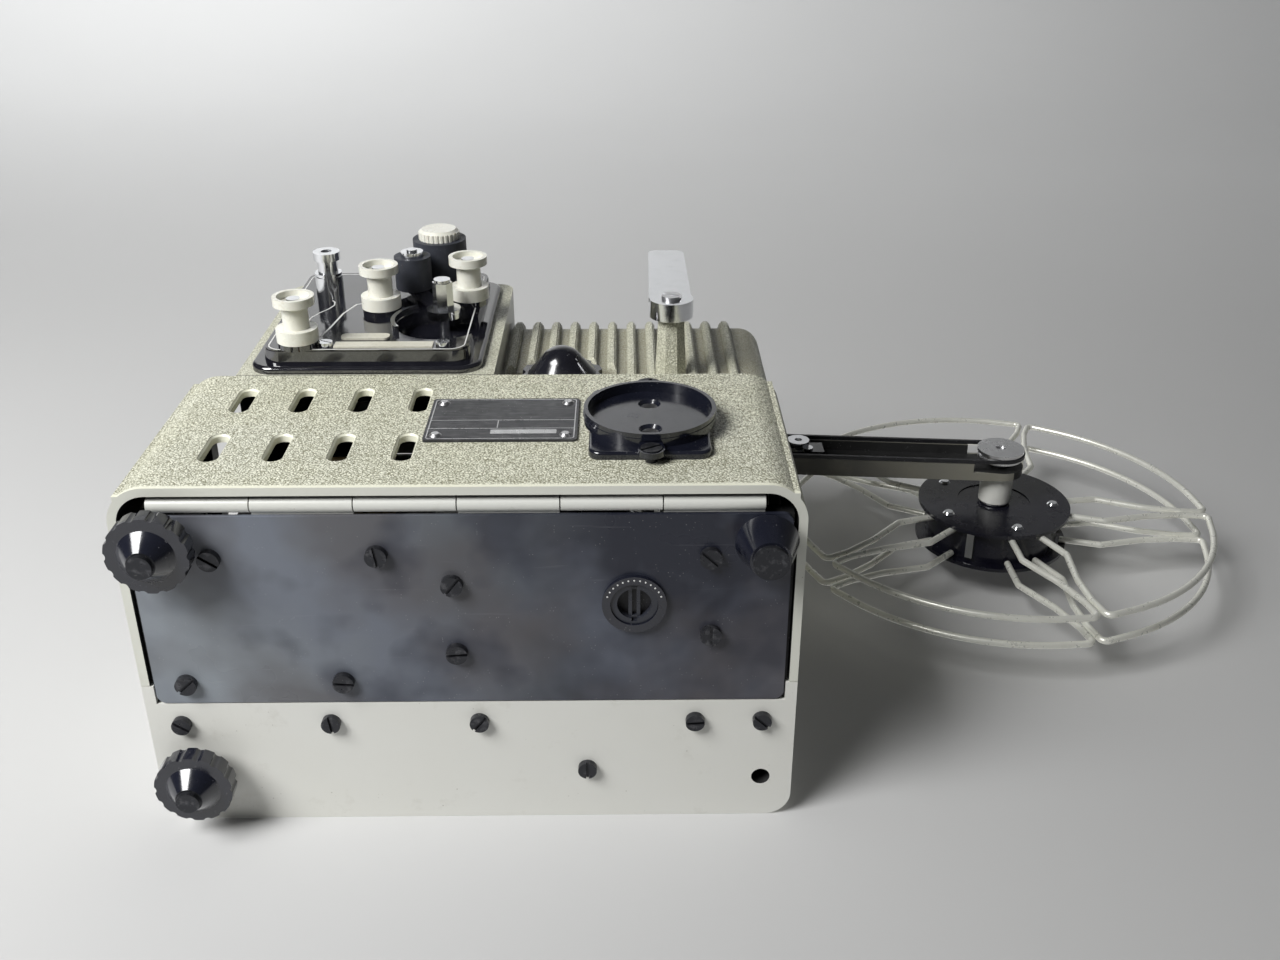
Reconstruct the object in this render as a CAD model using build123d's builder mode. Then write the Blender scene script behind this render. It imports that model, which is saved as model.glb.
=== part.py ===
from build123d import *
import math
import os

# Film projector, standing on its feet. Millimetres, +Z up, +X towards the take-up arm,
# -Y is the side with the cover and the tape panel, +Y is the film side.

os.makedirs("parts", exist_ok=True)

# ---------------------------------------------------------------- driving dimensions
HALF_L = 102.0  # half length of the lower box
Y_COVER = -61.0  # outer face of the hinged side cover
Y_FILM = 61.0  # outer face of the casting on the film side
Z_BOX = 83.6  # height of the lower box
Z_TOP = 180.0  # height of the upper housing
WALL = 2.7  # wall of the side cover
Y_SPLIT = 8.0  # where the cover's side walls meet the casting
HINGE_Y, HINGE_Z = -54.5, 2.5  # axis of the piano hinge
KNUCKLE = 30.0  # length of one hinge knuckle
R_KNUCKLE = 2.45
FOOT_Z = -17.0  # the plane that the feet rest on
Y_WALL0, Y_WALL1 = 14.5, 17.5  # mechanism plate
Y_FILM_PLANE = 36.75  # middle of the film
Z_AXIS = 130.0  # optical axis
ARM_Y0, ARM_Y1 = 6.6, 14.2  # reel arms
REEL_X, REEL_Z = 205.4, 157.0  # take-up spindle
PIVOT_X, PIVOT_Z = 86.0, 167.3  # take-up arm's pivot
SUP_X, SUP_Z0, SUP_Z1 = -70.0, 166.0, 285.8  # supply arm's pivot and spindle
REEL_R = 88.0  # wire rim, to its centre line
WIRE_R = 1.3
FLANGE_Y = (31.0, 42.5)  # planes of the reel's two flanges
PANEL_Y = -68.4  # face of the tape panel
RUN = 0.05  # running clearance of a shaft in its bore
ORIGIN = (89.8, -44.5, -17.0)  # middle of the fixed foot's pad, the origin of the finished part


# ---------------------------------------------------------------- shared helpers
def face(y, x=0.0, z=0.0):
    """Plane facing the cover side, with local axes X and Z."""
    return Plane(origin=(x, y, z), x_dir=(1, 0, 0), z_dir=(0, -1, 0))


def block(x0, x1, y0, y1, z0, z1, mode=Mode.ADD):
    with Locations(((x0 + x1) / 2, (y0 + y1) / 2, (z0 + z1) / 2)):
        Box(x1 - x0, y1 - y0, z1 - z0, mode=mode)


def rod_x(y, z, x0, x1, r, mode=Mode.ADD):
    with Locations(Location(((x0 + x1) / 2, y, z), (0, 90, 0))):
        Cylinder(r, x1 - x0, mode=mode)


def rod_y(x, z, y0, y1, r, mode=Mode.ADD):
    with Locations(Location((x, (y0 + y1) / 2, z), (90, 0, 0))):
        Cylinder(r, y1 - y0, mode=mode)


def rod_z(x, y, z0, z1, r, mode=Mode.ADD):
    with Locations((x, y, (z0 + z1) / 2)):
        Cylinder(r, z1 - z0, mode=mode)


def cone_y(x, z, y0, y1, r0, r1, mode=Mode.ADD):
    """Cone along +Y with radius r0 at y0 and r1 at y1."""
    with Locations(Location((x, (y0 + y1) / 2, z), (-90, 0, 0))):
        Cone(r0, r1, y1 - y0, mode=mode)


def cone_z(x, y, z0, z1, r0, r1, mode=Mode.ADD):
    with Locations((x, y, (z0 + z1) / 2)):
        Cone(r0, r1, z1 - z0, mode=mode)


def group(*parts):
    """Separate solids that share one node."""
    solids = []
    for part in parts:
        solids += part.solids()
    return Compound(solids)


def save(part, name):
    part = part.moved(Location((-ORIGIN[0], -ORIGIN[1], -ORIGIN[2])))
    part.label = name
    export_step(part, "parts/" + name + ".step")


PLATE_SCREWS = [(-74.1, -37.6), (-24.9, -38.6), (-3.3, -28.4), (-3.3, -4.0),
                (73.8, -37.4), (74.4, -10.2), (-87.6, 7.0), (-39.0, 6.5)]
BASE_SCREWS = [(-91.4, 22.5), (-44.5, 22.3), (2.2, 22.3), (70.2, 22.4), (91.4, 22.3), (35.9, 41.1)]
FOOT_A = (-88.2, -44.4)
FOOT_B = (-87.8, 40.5)
FOOT_C = (89.8, -44.5)
FOOT_HOLE = (91.9, 45.4)
SELECTOR = (51.1, -21.5)
KNOB = (26.2, 100.0)
LEVER = (65.2, 107.5)
MAIN = (-12.0, 130.0)
SPROCKETS = {"sprocket_upper": (-22.0, 163.0), "sprocket_lower": (-22.0, 99.0)}
ROLLERS = [(-64.5, 93.3), (-41.0, 127.0), (-9.5, 137.0)]
PINCH = (-31.5, 146.0)
CAPSTAN = (-23.5, 164.8)
HEX_POST = (-17.5, 122.0)
TAPE_POST = (-63.5, 145.0)
RECESS = (-18.0, 114.0)
OUTLET = (56.4, 40.7)
CLAW = (-33.5, 106.0)
GATE_PIN = (-84.0, 20.4)


# ---------------------------------------------------------------- lower box
def build_main_casting():
    with BuildPart() as main_casting:
        with BuildSketch(Plane.XY):
            with Locations((0, (8.2 + Y_FILM) / 2)):
                Rectangle(2 * HALF_L, Y_FILM - 8.2)
        extrude(amount=Z_BOX)
        film_edges = main_casting.edges().filter_by(Axis.Z).group_by(Axis.Y)[-1]
        fillet(film_edges, 8.5)
        block(-99, 99, 8.0, 58, 3, 80.8, Mode.SUBTRACT)
        # rebate for the bottom plate's edge
        block(-98.3, 98.3, 8.0, 14.9, -0.1, 1.6, Mode.SUBTRACT)
        # cheeks above the arc that the cover's side walls swing on
        for s in (-1, 1):
            with BuildPart(mode=Mode.PRIVATE) as cheek:
                block(98.7, HALF_L, -52.0, 8.4, 3.0, Z_BOX)
                rod_x(HINGE_Y, HINGE_Z, 97, 104, 82.0, Mode.SUBTRACT)
            add(cheek.part if s > 0 else cheek.part.mirror(Plane.YZ))
            # side bars of the frame, narrower where the cover's corners swing past
            x0, x1 = (84.0, 98.8) if s > 0 else (-98.8, -84.0)
            block(x0, x1, -42.0, 8.4, 1.5, 8.0)
            x0, x1 = (95.0, 98.8) if s > 0 else (-98.8, -95.0)
            block(x0, x1, -42.0, 8.4, 77.0, Z_BOX)
            x0, x1 = (84.0, 98.3) if s > 0 else (-98.3, -84.0)
            block(x0, x1, -50.3, -41.9, 2.7, 8.0)
            x0, x1 = (95.0, 98.3) if s > 0 else (-98.3, -95.0)
            block(x0, x1, -50.3, -44.0, 2.7, Z_BOX)
            block(x0, x1, -50.3, -41.9, 77.0, Z_BOX)
        # cross bars of the frame
        block(-98.8, 98.8, -42.0, -33.0, 1.5, 8.0)
        block(-98.8, 98.8, -0.5, 8.4, 1.5, 8.0)
        block(-8.0, 1.4, -42.0, 8.4, 1.5, 8.0)
        block(69.5, 79.5, -42.0, 8.4, 1.5, 8.0)
        # bosses inside the film-side floor
        for x, y in BASE_SCREWS + [FOOT_B, FOOT_HOLE]:
            rod_z(x, y, 2.0, 14.0, 6.0)
        # top opening below the mechanism
        block(-60, 60, 24, 52, 80, 84, Mode.SUBTRACT)
        block(-4, 56, 8.0, 14.6, 80, 84, Mode.SUBTRACT)
        # threaded holes for the screws and feet
        for x, y in PLATE_SCREWS:
            rod_z(x, y, 1.0, 7.0, 1.65, Mode.SUBTRACT)
        for x, y in BASE_SCREWS:
            rod_z(x, y, -0.1, 10.0, 1.65, Mode.SUBTRACT)
        for x, y in (FOOT_A, FOOT_B, FOOT_C):
            rod_z(x, y, -0.1, 14.5, 3.05, Mode.SUBTRACT)
        rod_z(FOOT_HOLE[0], FOOT_HOLE[1], -0.1, 12.0, 3.0, Mode.SUBTRACT)
    return main_casting.part


def build_bottom_plate():
    with BuildPart() as bottom_plate:
        with BuildSketch(Plane.XY):
            with Locations((0, (-51.6 + 14.5) / 2)):
                RectangleRounded(2 * 97.8, 66.1, 3.0)
        extrude(amount=1.5)
        for x, y in PLATE_SCREWS:
            rod_z(x, y, -0.1, 2.0, 1.8, Mode.SUBTRACT)
        for x, y in (FOOT_A, FOOT_C):
            rod_z(x, y, -0.1, 2.0, 3.4, Mode.SUBTRACT)
        rod_z(SELECTOR[0], SELECTOR[1], -0.1, 2.0, 8.3, Mode.SUBTRACT)
    return bottom_plate.part


def build_screws(points, z_seat, depth, r_head=3.3):
    with BuildPart() as screws:
        for i, (x, y) in enumerate(points):
            rod_z(x, y, z_seat - 2.2, z_seat, r_head)
            rod_z(x, y, z_seat, z_seat + depth, 1.6)
            with Locations(Location((x, y, z_seat - 1.8), (0, 0, 35 + 47 * i))):
                Box(8.0, 0.9, 1.0, mode=Mode.SUBTRACT)
    return screws.part


def knuckles(first):
    """Barrel segments of one leaf, taking every other knuckle."""
    for i in range(first, 6, 2):
        x0 = -90.4 + KNUCKLE * i
        rod_x(HINGE_Y, HINGE_Z, x0 + 0.2, x0 + KNUCKLE - 0.2, R_KNUCKLE)


def build_hinge_leaf_fixed():
    with BuildPart() as hinge_leaf_fixed:
        knuckles(1)
        for i in (1, 3, 5):
            x0 = -90.4 + KNUCKLE * i
            block(x0 + 0.2, x0 + KNUCKLE - 0.2, HINGE_Y, -49.0, 1.5, 2.5)
        block(-83.4, 89.4, -51.0, -43.0, 1.5, 2.5)
        rod_x(HINGE_Y, HINGE_Z, -95, 95, 1.15, Mode.SUBTRACT)
        rod_z(FOOT_C[0], FOOT_C[1], 1, 3, 3.6, Mode.SUBTRACT)
    return hinge_leaf_fixed.part


def build_hinge_leaf_cover():
    with BuildPart() as hinge_leaf_cover:
        knuckles(0)
        for i in (0, 2, 4):
            x0 = -90.4 + KNUCKLE * i
            block(x0 + 0.2, x0 + KNUCKLE - 0.2, -58.2, -57.2, 2.0, 9.0)
            block(x0 + 0.2, x0 + KNUCKLE - 0.2, -58.2, HINGE_Y, 3.6, 4.8)
        block(-88.0, 88.0, -58.2, -57.2, 6.5, 14.0)
        rod_x(HINGE_Y, HINGE_Z, -95, 95, 1.15, Mode.SUBTRACT)
    return hinge_leaf_cover.part


def build_hinge_pin():
    with BuildPart() as hinge_pin:
        rod_x(HINGE_Y, HINGE_Z, -90.2, 89.4, 1.10)
    return hinge_pin.part


def build_levelling_foot(x, y):
    with BuildPart() as levelling_foot:
        with BuildSketch(Plane.XY.offset(-10.5)):
            with Locations((x, y)):
                Circle(12.2)
                with PolarLocations(13.2, 14):
                    Circle(1.6, mode=Mode.SUBTRACT)
        extrude(amount=5.7)
        cone_z(x, y, -15.4, -10.5, 4.2, 8.5)
        rod_z(x, y, FOOT_Z, -15.2, 3.6)
        rod_z(x, y, -5.0, 9.0, 3.0)
    return levelling_foot.part


def build_fixed_foot():
    x, y = FOOT_C
    with BuildPart() as fixed_foot:
        cone_z(x, y, -15.0, -4.7, 6.0, 9.4)
        rod_z(x, y, -4.7, 0.0, 7.2)
        rod_z(x, y, FOOT_Z, -15.0, 5.2)
        rod_z(x, y, 0.0, 7.5, 3.0)
    return fixed_foot.part


def build_selector_bezel():
    x, y = SELECTOR
    with BuildPart() as selector_bezel:
        rod_z(x, y, -1.6, 0.0, 9.75)
        rod_z(x, y, 0.0, 5.5, 8.2)
        rod_z(x, y, -2.0, 4.3, 7.2, Mode.SUBTRACT)
    return selector_bezel.part


def build_selector_dial():
    x, y = SELECTOR
    with BuildPart() as selector_dial:
        rod_z(x, y, -0.9, 4.1, 7.1)
        rod_z(x, y, -1.0, 1.6, 5.2, Mode.SUBTRACT)
        block(x - 0.9, x + 0.9, y - 6.2, y + 6.2, -1.0, 0.4, Mode.SUBTRACT)
        block(x - 1.8, x + 1.8, y - 5.3, y + 5.3, 0.2, 2.0)
        block(x - 0.7, x + 0.7, y - 4.6, y + 4.6, 0.1, 1.2, Mode.SUBTRACT)
    return selector_dial.part


# ---------------------------------------------------------------- hinged side cover
def build_side_cover():
    with BuildPart() as side_cover:
        with BuildSketch(Plane.XY):
            with Locations((0, (Y_COVER + Y_SPLIT) / 2)):
                Rectangle(2 * HALF_L, Y_SPLIT - Y_COVER)
        extrude(amount=Z_BOX)
        fillet(side_cover.edges().filter_by(Axis.Z).group_by(Axis.Y)[0], 12.0)
        with BuildSketch(Plane.XY.offset(-1)):
            with Locations((0, (Y_COVER + WALL + 20) / 2)):
                Rectangle(2 * (HALF_L - WALL), 20 - Y_COVER - WALL)
        extrude(amount=Z_BOX - WALL + 1, mode=Mode.SUBTRACT)
        # inside corners follow the outside
        for s in (-1, 1):
            with BuildPart(mode=Mode.PRIVATE) as corner:
                block(89.0, HALF_L - WALL + 0.01, Y_COVER + WALL - 0.01, -49.0, 0.0, Z_BOX - 0.5)
                rod_z(HALF_L - 12.0, Y_COVER + 12.0, -1, 90, 12.0 - WALL, Mode.SUBTRACT)
                block(80, HALF_L - 12.0, -70, -40, -1, 90, Mode.SUBTRACT)
            add(corner.part if s > 0 else corner.part.mirror(Plane.YZ))
        # narrow ledge along the top, side walls cut to the arc they swing on
        block(-99.3, 99.3, -52.3, 20, 70, 90, Mode.SUBTRACT)
        with BuildPart(mode=Mode.PRIVATE) as outside_arc:
            block(-103, 103, -52.3, 20, 3, 90)
            rod_x(HINGE_Y, HINGE_Z, -104, 104, 81.55, Mode.SUBTRACT)
        add(outside_arc.part, mode=Mode.SUBTRACT)
        # two rows of cooling slots, with bevelled edges
        for row in (27.0, 62.7):
            for i in range(4):
                x = -76.7 + 19.36 * i
                with BuildSketch(face(Y_COVER + WALL + 0.1)):
                    with Locations((x, row)):
                        SlotOverall(18.6, 5.4, rotation=90)
                extrude(amount=5, mode=Mode.SUBTRACT)
                with BuildSketch(face(Y_COVER + 0.7)):
                    with Locations((x, row)):
                        SlotOverall(18.6, 5.4, rotation=90)
                extrude(amount=0.8, taper=-40, mode=Mode.SUBTRACT)
        # opening behind the power connector, holes for its screws and the nameplate rivets
        rod_y(OUTLET[0], OUTLET[1], -62, -57, 16.0, Mode.SUBTRACT)
        for dz in (-24.8, 24.8):
            rod_y(OUTLET[0], OUTLET[1] + dz, -62, -57, 1.65, Mode.SUBTRACT)
        for x, z in NAME_RIVETS:
            rod_y(x, z, -62, -57, 1.0, Mode.SUBTRACT)
    return side_cover.part


NAME_RIVETS = [(-10.2, 33.4), (30.1, 33.4), (-10.2, 57.7), (30.1, 57.7)]


def build_nameplate():
    with BuildPart() as nameplate:
        with BuildSketch(face(Y_COVER)):
            with Locations((9.95, 45.5)):
                RectangleRounded(47.6, 31.6, 1.2)
            with Locations(*NAME_RIVETS):
                Circle(1.05, mode=Mode.SUBTRACT)
        extrude(amount=0.8)
    return nameplate.part


def build_nameplate_rivets():
    with BuildPart() as nameplate_rivets:
        for x, z in NAME_RIVETS:
            cone_y(x, z, Y_COVER - 1.5, Y_COVER - 0.8, 1.2, 2.0)
            rod_y(x, z, Y_COVER - 0.8, Y_COVER + 3.2, 0.95)
    return nameplate_rivets.part


def build_connector_base():
    x, z = OUTLET
    with BuildPart() as connector_base:
        with BuildSketch(face(Y_COVER)):
            with Locations((x - 0.3, 41.2)):
                RectangleRounded(37.2, 48.6, 4.0)
        extrude(amount=2.5)
        fillet(connector_base.faces().sort_by(Axis.Y)[0].edges(), 1.0)
        rod_y(x, z, -64, -60, 16.2, Mode.SUBTRACT)
        for dz in (-24.8, 24.8):
            rod_y(x, z + dz, -64, -60, 1.8, Mode.SUBTRACT)
    return connector_base.part


def build_connector_collar():
    """Round collar with two screw ears around the power connector's recess."""
    x, z = OUTLET
    with BuildPart() as connector_collar:
        rod_y(x, z, -68.0, -63.5, 20.7)
        rod_y(x, z, -66.4, -65.8, 20.9)
        for dz in (-24.8, 24.8):
            rod_y(x, z + dz, -65.4, -63.5, 4.1)
            block(x - 3.6, x + 3.6, -65.2, -63.5, min(z + dz, z), max(z + dz, z))
            rod_y(x, z + dz, -68, -60, 1.8, Mode.SUBTRACT)
            rod_y(x, z + dz, -68, -64.4, 3.45, Mode.SUBTRACT)
        rod_y(x, z, -69, -63.0, 19.4, Mode.SUBTRACT)
    return connector_collar.part


def build_connector_insert():
    """Moulded cup behind the collar, with two pin holes 19 mm apart."""
    x, z = OUTLET
    with BuildPart() as connector_insert:
        rod_y(x, z, -63.6, -61.0, 16.1)
        rod_y(x, z, -61.0, -50.0, 15.9)
        rod_y(x, z, -64.6, -63.5, 19.3)
        for dz in (-9.5, 9.5):
            rod_y(x, z + dz, -65, -49, 2.55, Mode.SUBTRACT)
            cone_y(x, z + dz, -64.7, -63.6, 3.7, 2.6, Mode.SUBTRACT)
    return connector_insert.part


def build_connector_contacts():
    x, z = OUTLET
    with BuildPart() as connector_contacts:
        for dz in (-9.5, 9.5):
            rod_y(x, z + dz, -61.5, -44.0, 2.5)
            rod_y(x, z + dz, -62, -48.0, 2.05, Mode.SUBTRACT)
    return connector_contacts.part


def build_connector_screws():
    x, z = OUTLET
    with BuildPart() as connector_screws:
        for i, dz in enumerate((-24.8, 24.8)):
            rod_y(x, z + dz, -65.7, -64.4, 3.3)
            rod_y(x, z + dz, -64.4, -56.0, 1.6)
            with Locations(Location((x, -65.7, z + dz), (0, -30 - 40 * i, 0))):
                Box(8, 1.2, 0.9, mode=Mode.SUBTRACT)
    return connector_screws.part


# ---------------------------------------------------------------- upper housing
def housing_solid(inset, y1=14.3, z0=84.2):
    """The ribbed part of the upper housing, grown or shrunk by inset."""
    y0 = -49.2 + inset
    z1 = Z_TOP - 2.8 - inset
    r_top = 22.0
    with BuildPart() as solid:
        with BuildSketch(Plane.YZ.offset(3.0)):
            with BuildLine():
                Polyline((y1, z0), (y0, z0), (y0, z1 - r_top))
                RadiusArc((y0, z1 - r_top), (y0 + r_top, z1), r_top)
                Polyline((y0 + r_top, z1), (y1, z1), (y1, z0))
            make_face()
        extrude(amount=HALF_L - inset - 3.0)
        with BuildSketch(face(20)):
            with BuildLine():
                x1 = HALF_L - inset
                Polyline((-5, z0 - 5), (x1, z0 - 5), (x1, z1 - 16))
                RadiusArc((x1, z1 - 16), (x1 - 17, z1 + 0.4), -16.7)
                Polyline((x1 - 17, z1 + 0.4), (-5, z1 + 0.4), (-5, z0 - 5))
            make_face()
        extrude(amount=80, mode=Mode.INTERSECT)
        edge = solid.edges().filter_by(Axis.Z).sort_by(lambda e: e.center().Y - e.center().X)[0]
        fillet(edge, 8.0)
    return solid.part


def build_upper_housing():
    shell = housing_solid(0.0)
    inner = housing_solid(3.0, y1=20.0, z0=80.0)
    with BuildPart() as upper_housing:
        add(shell)
        # ribs that wrap over the top edge
        for i in range(12):
            for width, tall in ((3.6, 1.6), (2.7, 2.3), (1.6, 2.8)):
                y, z = -49.2 - tall, 177.2 + tall
                with BuildSketch(Plane.YZ.offset(6.6 + 7.43 * i - width / 2)):
                    with BuildLine():
                        Polyline((8.0, 177.0), (8.0, z), (-27.2, z))
                        RadiusArc((-27.2, z), (y, 155.2), -22.0 - tall)
                        Polyline((y, 155.2), (y, 84.2), (-49.0, 84.2), (-49.0, 155.2))
                        RadiusArc((-49.0, 155.2), (-27.2, 177.0), 21.8)
                        Line((-27.2, 177.0), (8.0, 177.0))
                    make_face()
                extrude(amount=width)
        # round pocket that clears the inching knob
        with BuildPart(mode=Mode.PRIVATE) as pocket:
            cone_y(KNOB[0], KNOB[1], -56.0, -47.0, 28.0, 19.0)
            block(-20, 3.6, -60, -40, 60, 140, Mode.SUBTRACT)
        add(pocket.part, mode=Mode.SUBTRACT)
        # block that carries the tape panel
        with BuildPart(mode=Mode.PRIVATE) as panel_block:
            with BuildSketch(face(14.3)):
                with Locations((-40.75, (84.2 + Z_TOP) / 2)):
                    RectangleRounded(88.5, Z_TOP - 84.2, 6.0)
            extrude(amount=14.3 + 60.9)
            block(-86, 5, -70, 20, 80, 90, Mode.SUBTRACT)
            block(-85, 3.5, -60.9, 14.3, 84.2, 91)
        add(panel_block.part)
        # hollow
        add(inner, mode=Mode.SUBTRACT)
        block(-82.0, 0.5, -57.9, 20.0, 80.0, 177.0, Mode.SUBTRACT)
        block(0.0, 6.5, -46.2, 20.0, 80.0, 171.0, Mode.SUBTRACT)
        # seats behind the knob pocket and the lever post
        rod_y(KNOB[0], KNOB[1], -47.0, -42.5, 22.0)
        rod_y(LEVER[0], LEVER[1], -47.0, -43.0, 7.0)
        block(0, 60, -60, -40, 60, 84.2, Mode.SUBTRACT)
        # faceted post for the switch lever
        with BuildSketch(face(-46.5)):
            with Locations((LEVER[0], LEVER[1])):
                RegularPolygon(6.2, 8, rotation=22.5)
        with BuildSketch(face(-73.3)):
            with Locations((LEVER[0], LEVER[1])):
                RegularPolygon(4.9, 8, rotation=22.5)
        loft()
        # pockets for the two reel arms, open at the top and at the ends
        block(72.0, HALF_L - 1.0, -0.8, 14.3, 146.0, 166.0)
        with BuildPart(mode=Mode.PRIVATE) as rear_pocket:
            block(72.0, HALF_L, -0.8, 14.3, 146.0, 177.2)
        add(rear_pocket.part & housing_solid(0.0))
        block(-85.0, -57.0, -0.8, 14.3, 146.0, 178.0)
        block(74.0, 110.0, 1.6, 15.0, 148.5, 190.0, Mode.SUBTRACT)
        block(-90.0, -59.0, 1.6, 15.0, 148.5, 190.0, Mode.SUBTRACT)
        # bores
        rod_y(KNOB[0], KNOB[1], -60, -40, 3.0 + RUN, Mode.SUBTRACT)
        rod_y(LEVER[0], LEVER[1], -80, -40, 2.0 + RUN, Mode.SUBTRACT)
        rod_y(PIVOT_X, PIVOT_Z, -5, 5, 3.05, Mode.SUBTRACT)
        rod_y(SUP_X, SUP_Z0, -5, 5, 3.0, Mode.SUBTRACT)
        rod_y(CAPSTAN[0], CAPSTAN[1], -62, -55, 2.5 + RUN, Mode.SUBTRACT)
        rod_y(HEX_POST[0], HEX_POST[1], -62, -55, 2.0 + RUN, Mode.SUBTRACT)
    return upper_housing.part


ARM_PIVOTS = [(PIVOT_X, PIVOT_Z), (SUP_X, SUP_Z0)]


def build_mechanism_plate():
    with BuildPart() as mechanism_plate:
        with BuildSketch(face(Y_WALL1)):
            with BuildLine():
                Polyline((-85, 84.0), (HALF_L, 84.0), (HALF_L, 161.0))
                RadiusArc((HALF_L, 161.0), (HALF_L - 16, 177.0), -16)
                Line((HALF_L - 16, 177.0), (-79.0, 177.0))
                RadiusArc((-79.0, 177.0), (-85.0, 171.0), -6)
                Line((-85.0, 171.0), (-85, 84.0))
            make_face()
        extrude(amount=Y_WALL1 - Y_WALL0)
        rod_y(MAIN[0], MAIN[1], 0, 20, 3.0 + RUN, Mode.SUBTRACT)
        for x, z in SPROCKETS.values():
            rod_y(x, z, 0, 20, 2.5 + RUN, Mode.SUBTRACT)
        for x, z in ARM_PIVOTS:
            rod_y(x, z, 0, 20, 3.0, Mode.SUBTRACT)
        # fan outlet to the lamp
        for i in range(5):
            block(30.0 + 10 * i, 36.0 + 10 * i, 14, 18, 110, 150, Mode.SUBTRACT)
    return mechanism_plate.part


def build_bearing(x, z, y0, r_out, r_shaft):
    """Bearing bush on the cover side of the mechanism plate."""
    with BuildPart() as bearing:
        rod_y(x, z, y0, Y_WALL0, r_out)
        rod_y(x, z, 0, 20, r_shaft + RUN, Mode.SUBTRACT)
    return bearing.part


def build_roller_pin():
    with BuildPart() as roller_pin:
        rod_y(92.0, 92.0, Y_WALL1, 45.0, 2.0)
        rod_y(92.0, 92.0, 43.6, 45.0, 3.2)
    return roller_pin.part


def build_claw_pin():
    with BuildPart() as claw_pin:
        rod_y(CLAW[0], CLAW[1], Y_WALL1, 30.0, 1.5)
        rod_y(CLAW[0], CLAW[1], Y_WALL1, 23.8, 3.0)
    return claw_pin.part


def build_gate_lug(z0):
    x, y = GATE_PIN
    with BuildPart() as gate_lug:
        rod_z(x, y, z0, z0 + 6.1, 2.6)
        block(x - 0.5, x + 2.6, Y_WALL1, y, z0, z0 + 6.1)
        rod_z(x, y, 110.0, 150.0, 1.5, Mode.SUBTRACT)
    return gate_lug.part


def build_gate_pin():
    with BuildPart() as gate_pin:
        rod_z(GATE_PIN[0], GATE_PIN[1], 114.0, 146.0, 1.5)
    return gate_pin.part


def build_arm_pivot(x, z):
    with BuildPart() as arm_pivot:
        rod_y(x, z, 9.9, Y_WALL1, 3.0)
    return arm_pivot.part


def mechanism_parts():
    bearings = [build_bearing(*MAIN, 4.0, 7.0, 3.0)]
    bearings += [build_bearing(x, z, 6.0, 5.0, 2.5) for x, z in SPROCKETS.values()]
    pins = [build_roller_pin(), build_claw_pin(), build_gate_pin()]
    lugs = [build_gate_lug(113.5), build_gate_lug(140.4)]
    pivots = [build_arm_pivot(x, z) for x, z in ARM_PIVOTS]
    return group(build_mechanism_plate(), *bearings, *pins, *lugs, *pivots)


# ---------------------------------------------------------------- tape panel
def build_tape_panel_base():
    with BuildPart() as tape_panel_base:
        with BuildSketch(face(-60.9)):
            with Locations((-41.0, 130.9)):
                RectangleRounded(80.0, 92.4, 8.0)
        extrude(amount=2.6)
        fillet(tape_panel_base.faces().sort_by(Axis.Y)[0].edges(), 1.4)
        with BuildSketch(face(-63.4)):
            with Locations((-41.0, 130.9)):
                RectangleRounded(72.0, 84.4, 6.0)
        extrude(amount=4.2, taper=6)
        rod_y(RECESS[0], RECESS[1], -68, -62.9, 15.9, Mode.SUBTRACT)
        for x, z in ROLLERS + [TAPE_POST]:
            rod_y(x, z, -68, -63, 1.55, Mode.SUBTRACT)
        rod_y(CAPSTAN[0], CAPSTAN[1], -70, -60, 2.5 + RUN, Mode.SUBTRACT)
        rod_y(HEX_POST[0], HEX_POST[1], -70, -60, 2.0 + RUN, Mode.SUBTRACT)
    return tape_panel_base.part


def build_tape_panel_face():
    with BuildPart() as tape_panel_face:
        with BuildSketch(face(-67.6)):
            with Locations((-41.0, 130.9)):
                RectangleRounded(70.6, 83.0, 5.4)
            with Locations(RECESS):
                Circle(15.9, mode=Mode.SUBTRACT)
            with Locations(*ROLLERS, TAPE_POST):
                Circle(1.55, mode=Mode.SUBTRACT)
            with Locations(CAPSTAN):
                Circle(3.2, mode=Mode.SUBTRACT)
            for x in PANEL_SCREWS:
                with Locations((x, 92.6)):
                    Circle(1.1, mode=Mode.SUBTRACT)
        extrude(amount=0.8)
        for x, z in ROLLERS:
            rod_y(x, z, PANEL_Y - 2.0, PANEL_Y, 6.9)
            rod_y(x, z, -72, -65, 1.55, Mode.SUBTRACT)
    return tape_panel_face.part


PANEL_SCREWS = (-55.0, -14.5)


def build_panel_screws():
    with BuildPart() as panel_screws:
        for i, x in enumerate(PANEL_SCREWS):
            rod_y(x, 92.6, PANEL_Y - 1.6, PANEL_Y, 2.4)
            rod_y(x, 92.6, PANEL_Y, -67.6, 1.0)
            with Locations(Location((x, PANEL_Y - 1.6, 92.6), (0, 30 + 70 * i, 0))):
                Box(6, 1.0, 0.6, mode=Mode.SUBTRACT)
    return panel_screws.part


def build_panel_trim():
    """Blank name strip and blank badge."""
    with BuildPart() as panel_trim:
        block(-52.0, -17.9, PANEL_Y - 0.6, PANEL_Y, 90.2, 95.0)
        with BuildSketch(face(PANEL_Y)):
            with Locations((-42.6, 100.4)):
                RectangleRounded(17.0, 5.0, 2.0)
        extrude(amount=0.7)
    return panel_trim.part


def build_roller_spindles():
    with BuildPart() as roller_spindles:
        for x, z in ROLLERS:
            rod_y(x, z, -84.2, -63.2, 1.5)
            rod_y(x, z, -85.6, -84.2, 2.4)
    return roller_spindles.part


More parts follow.
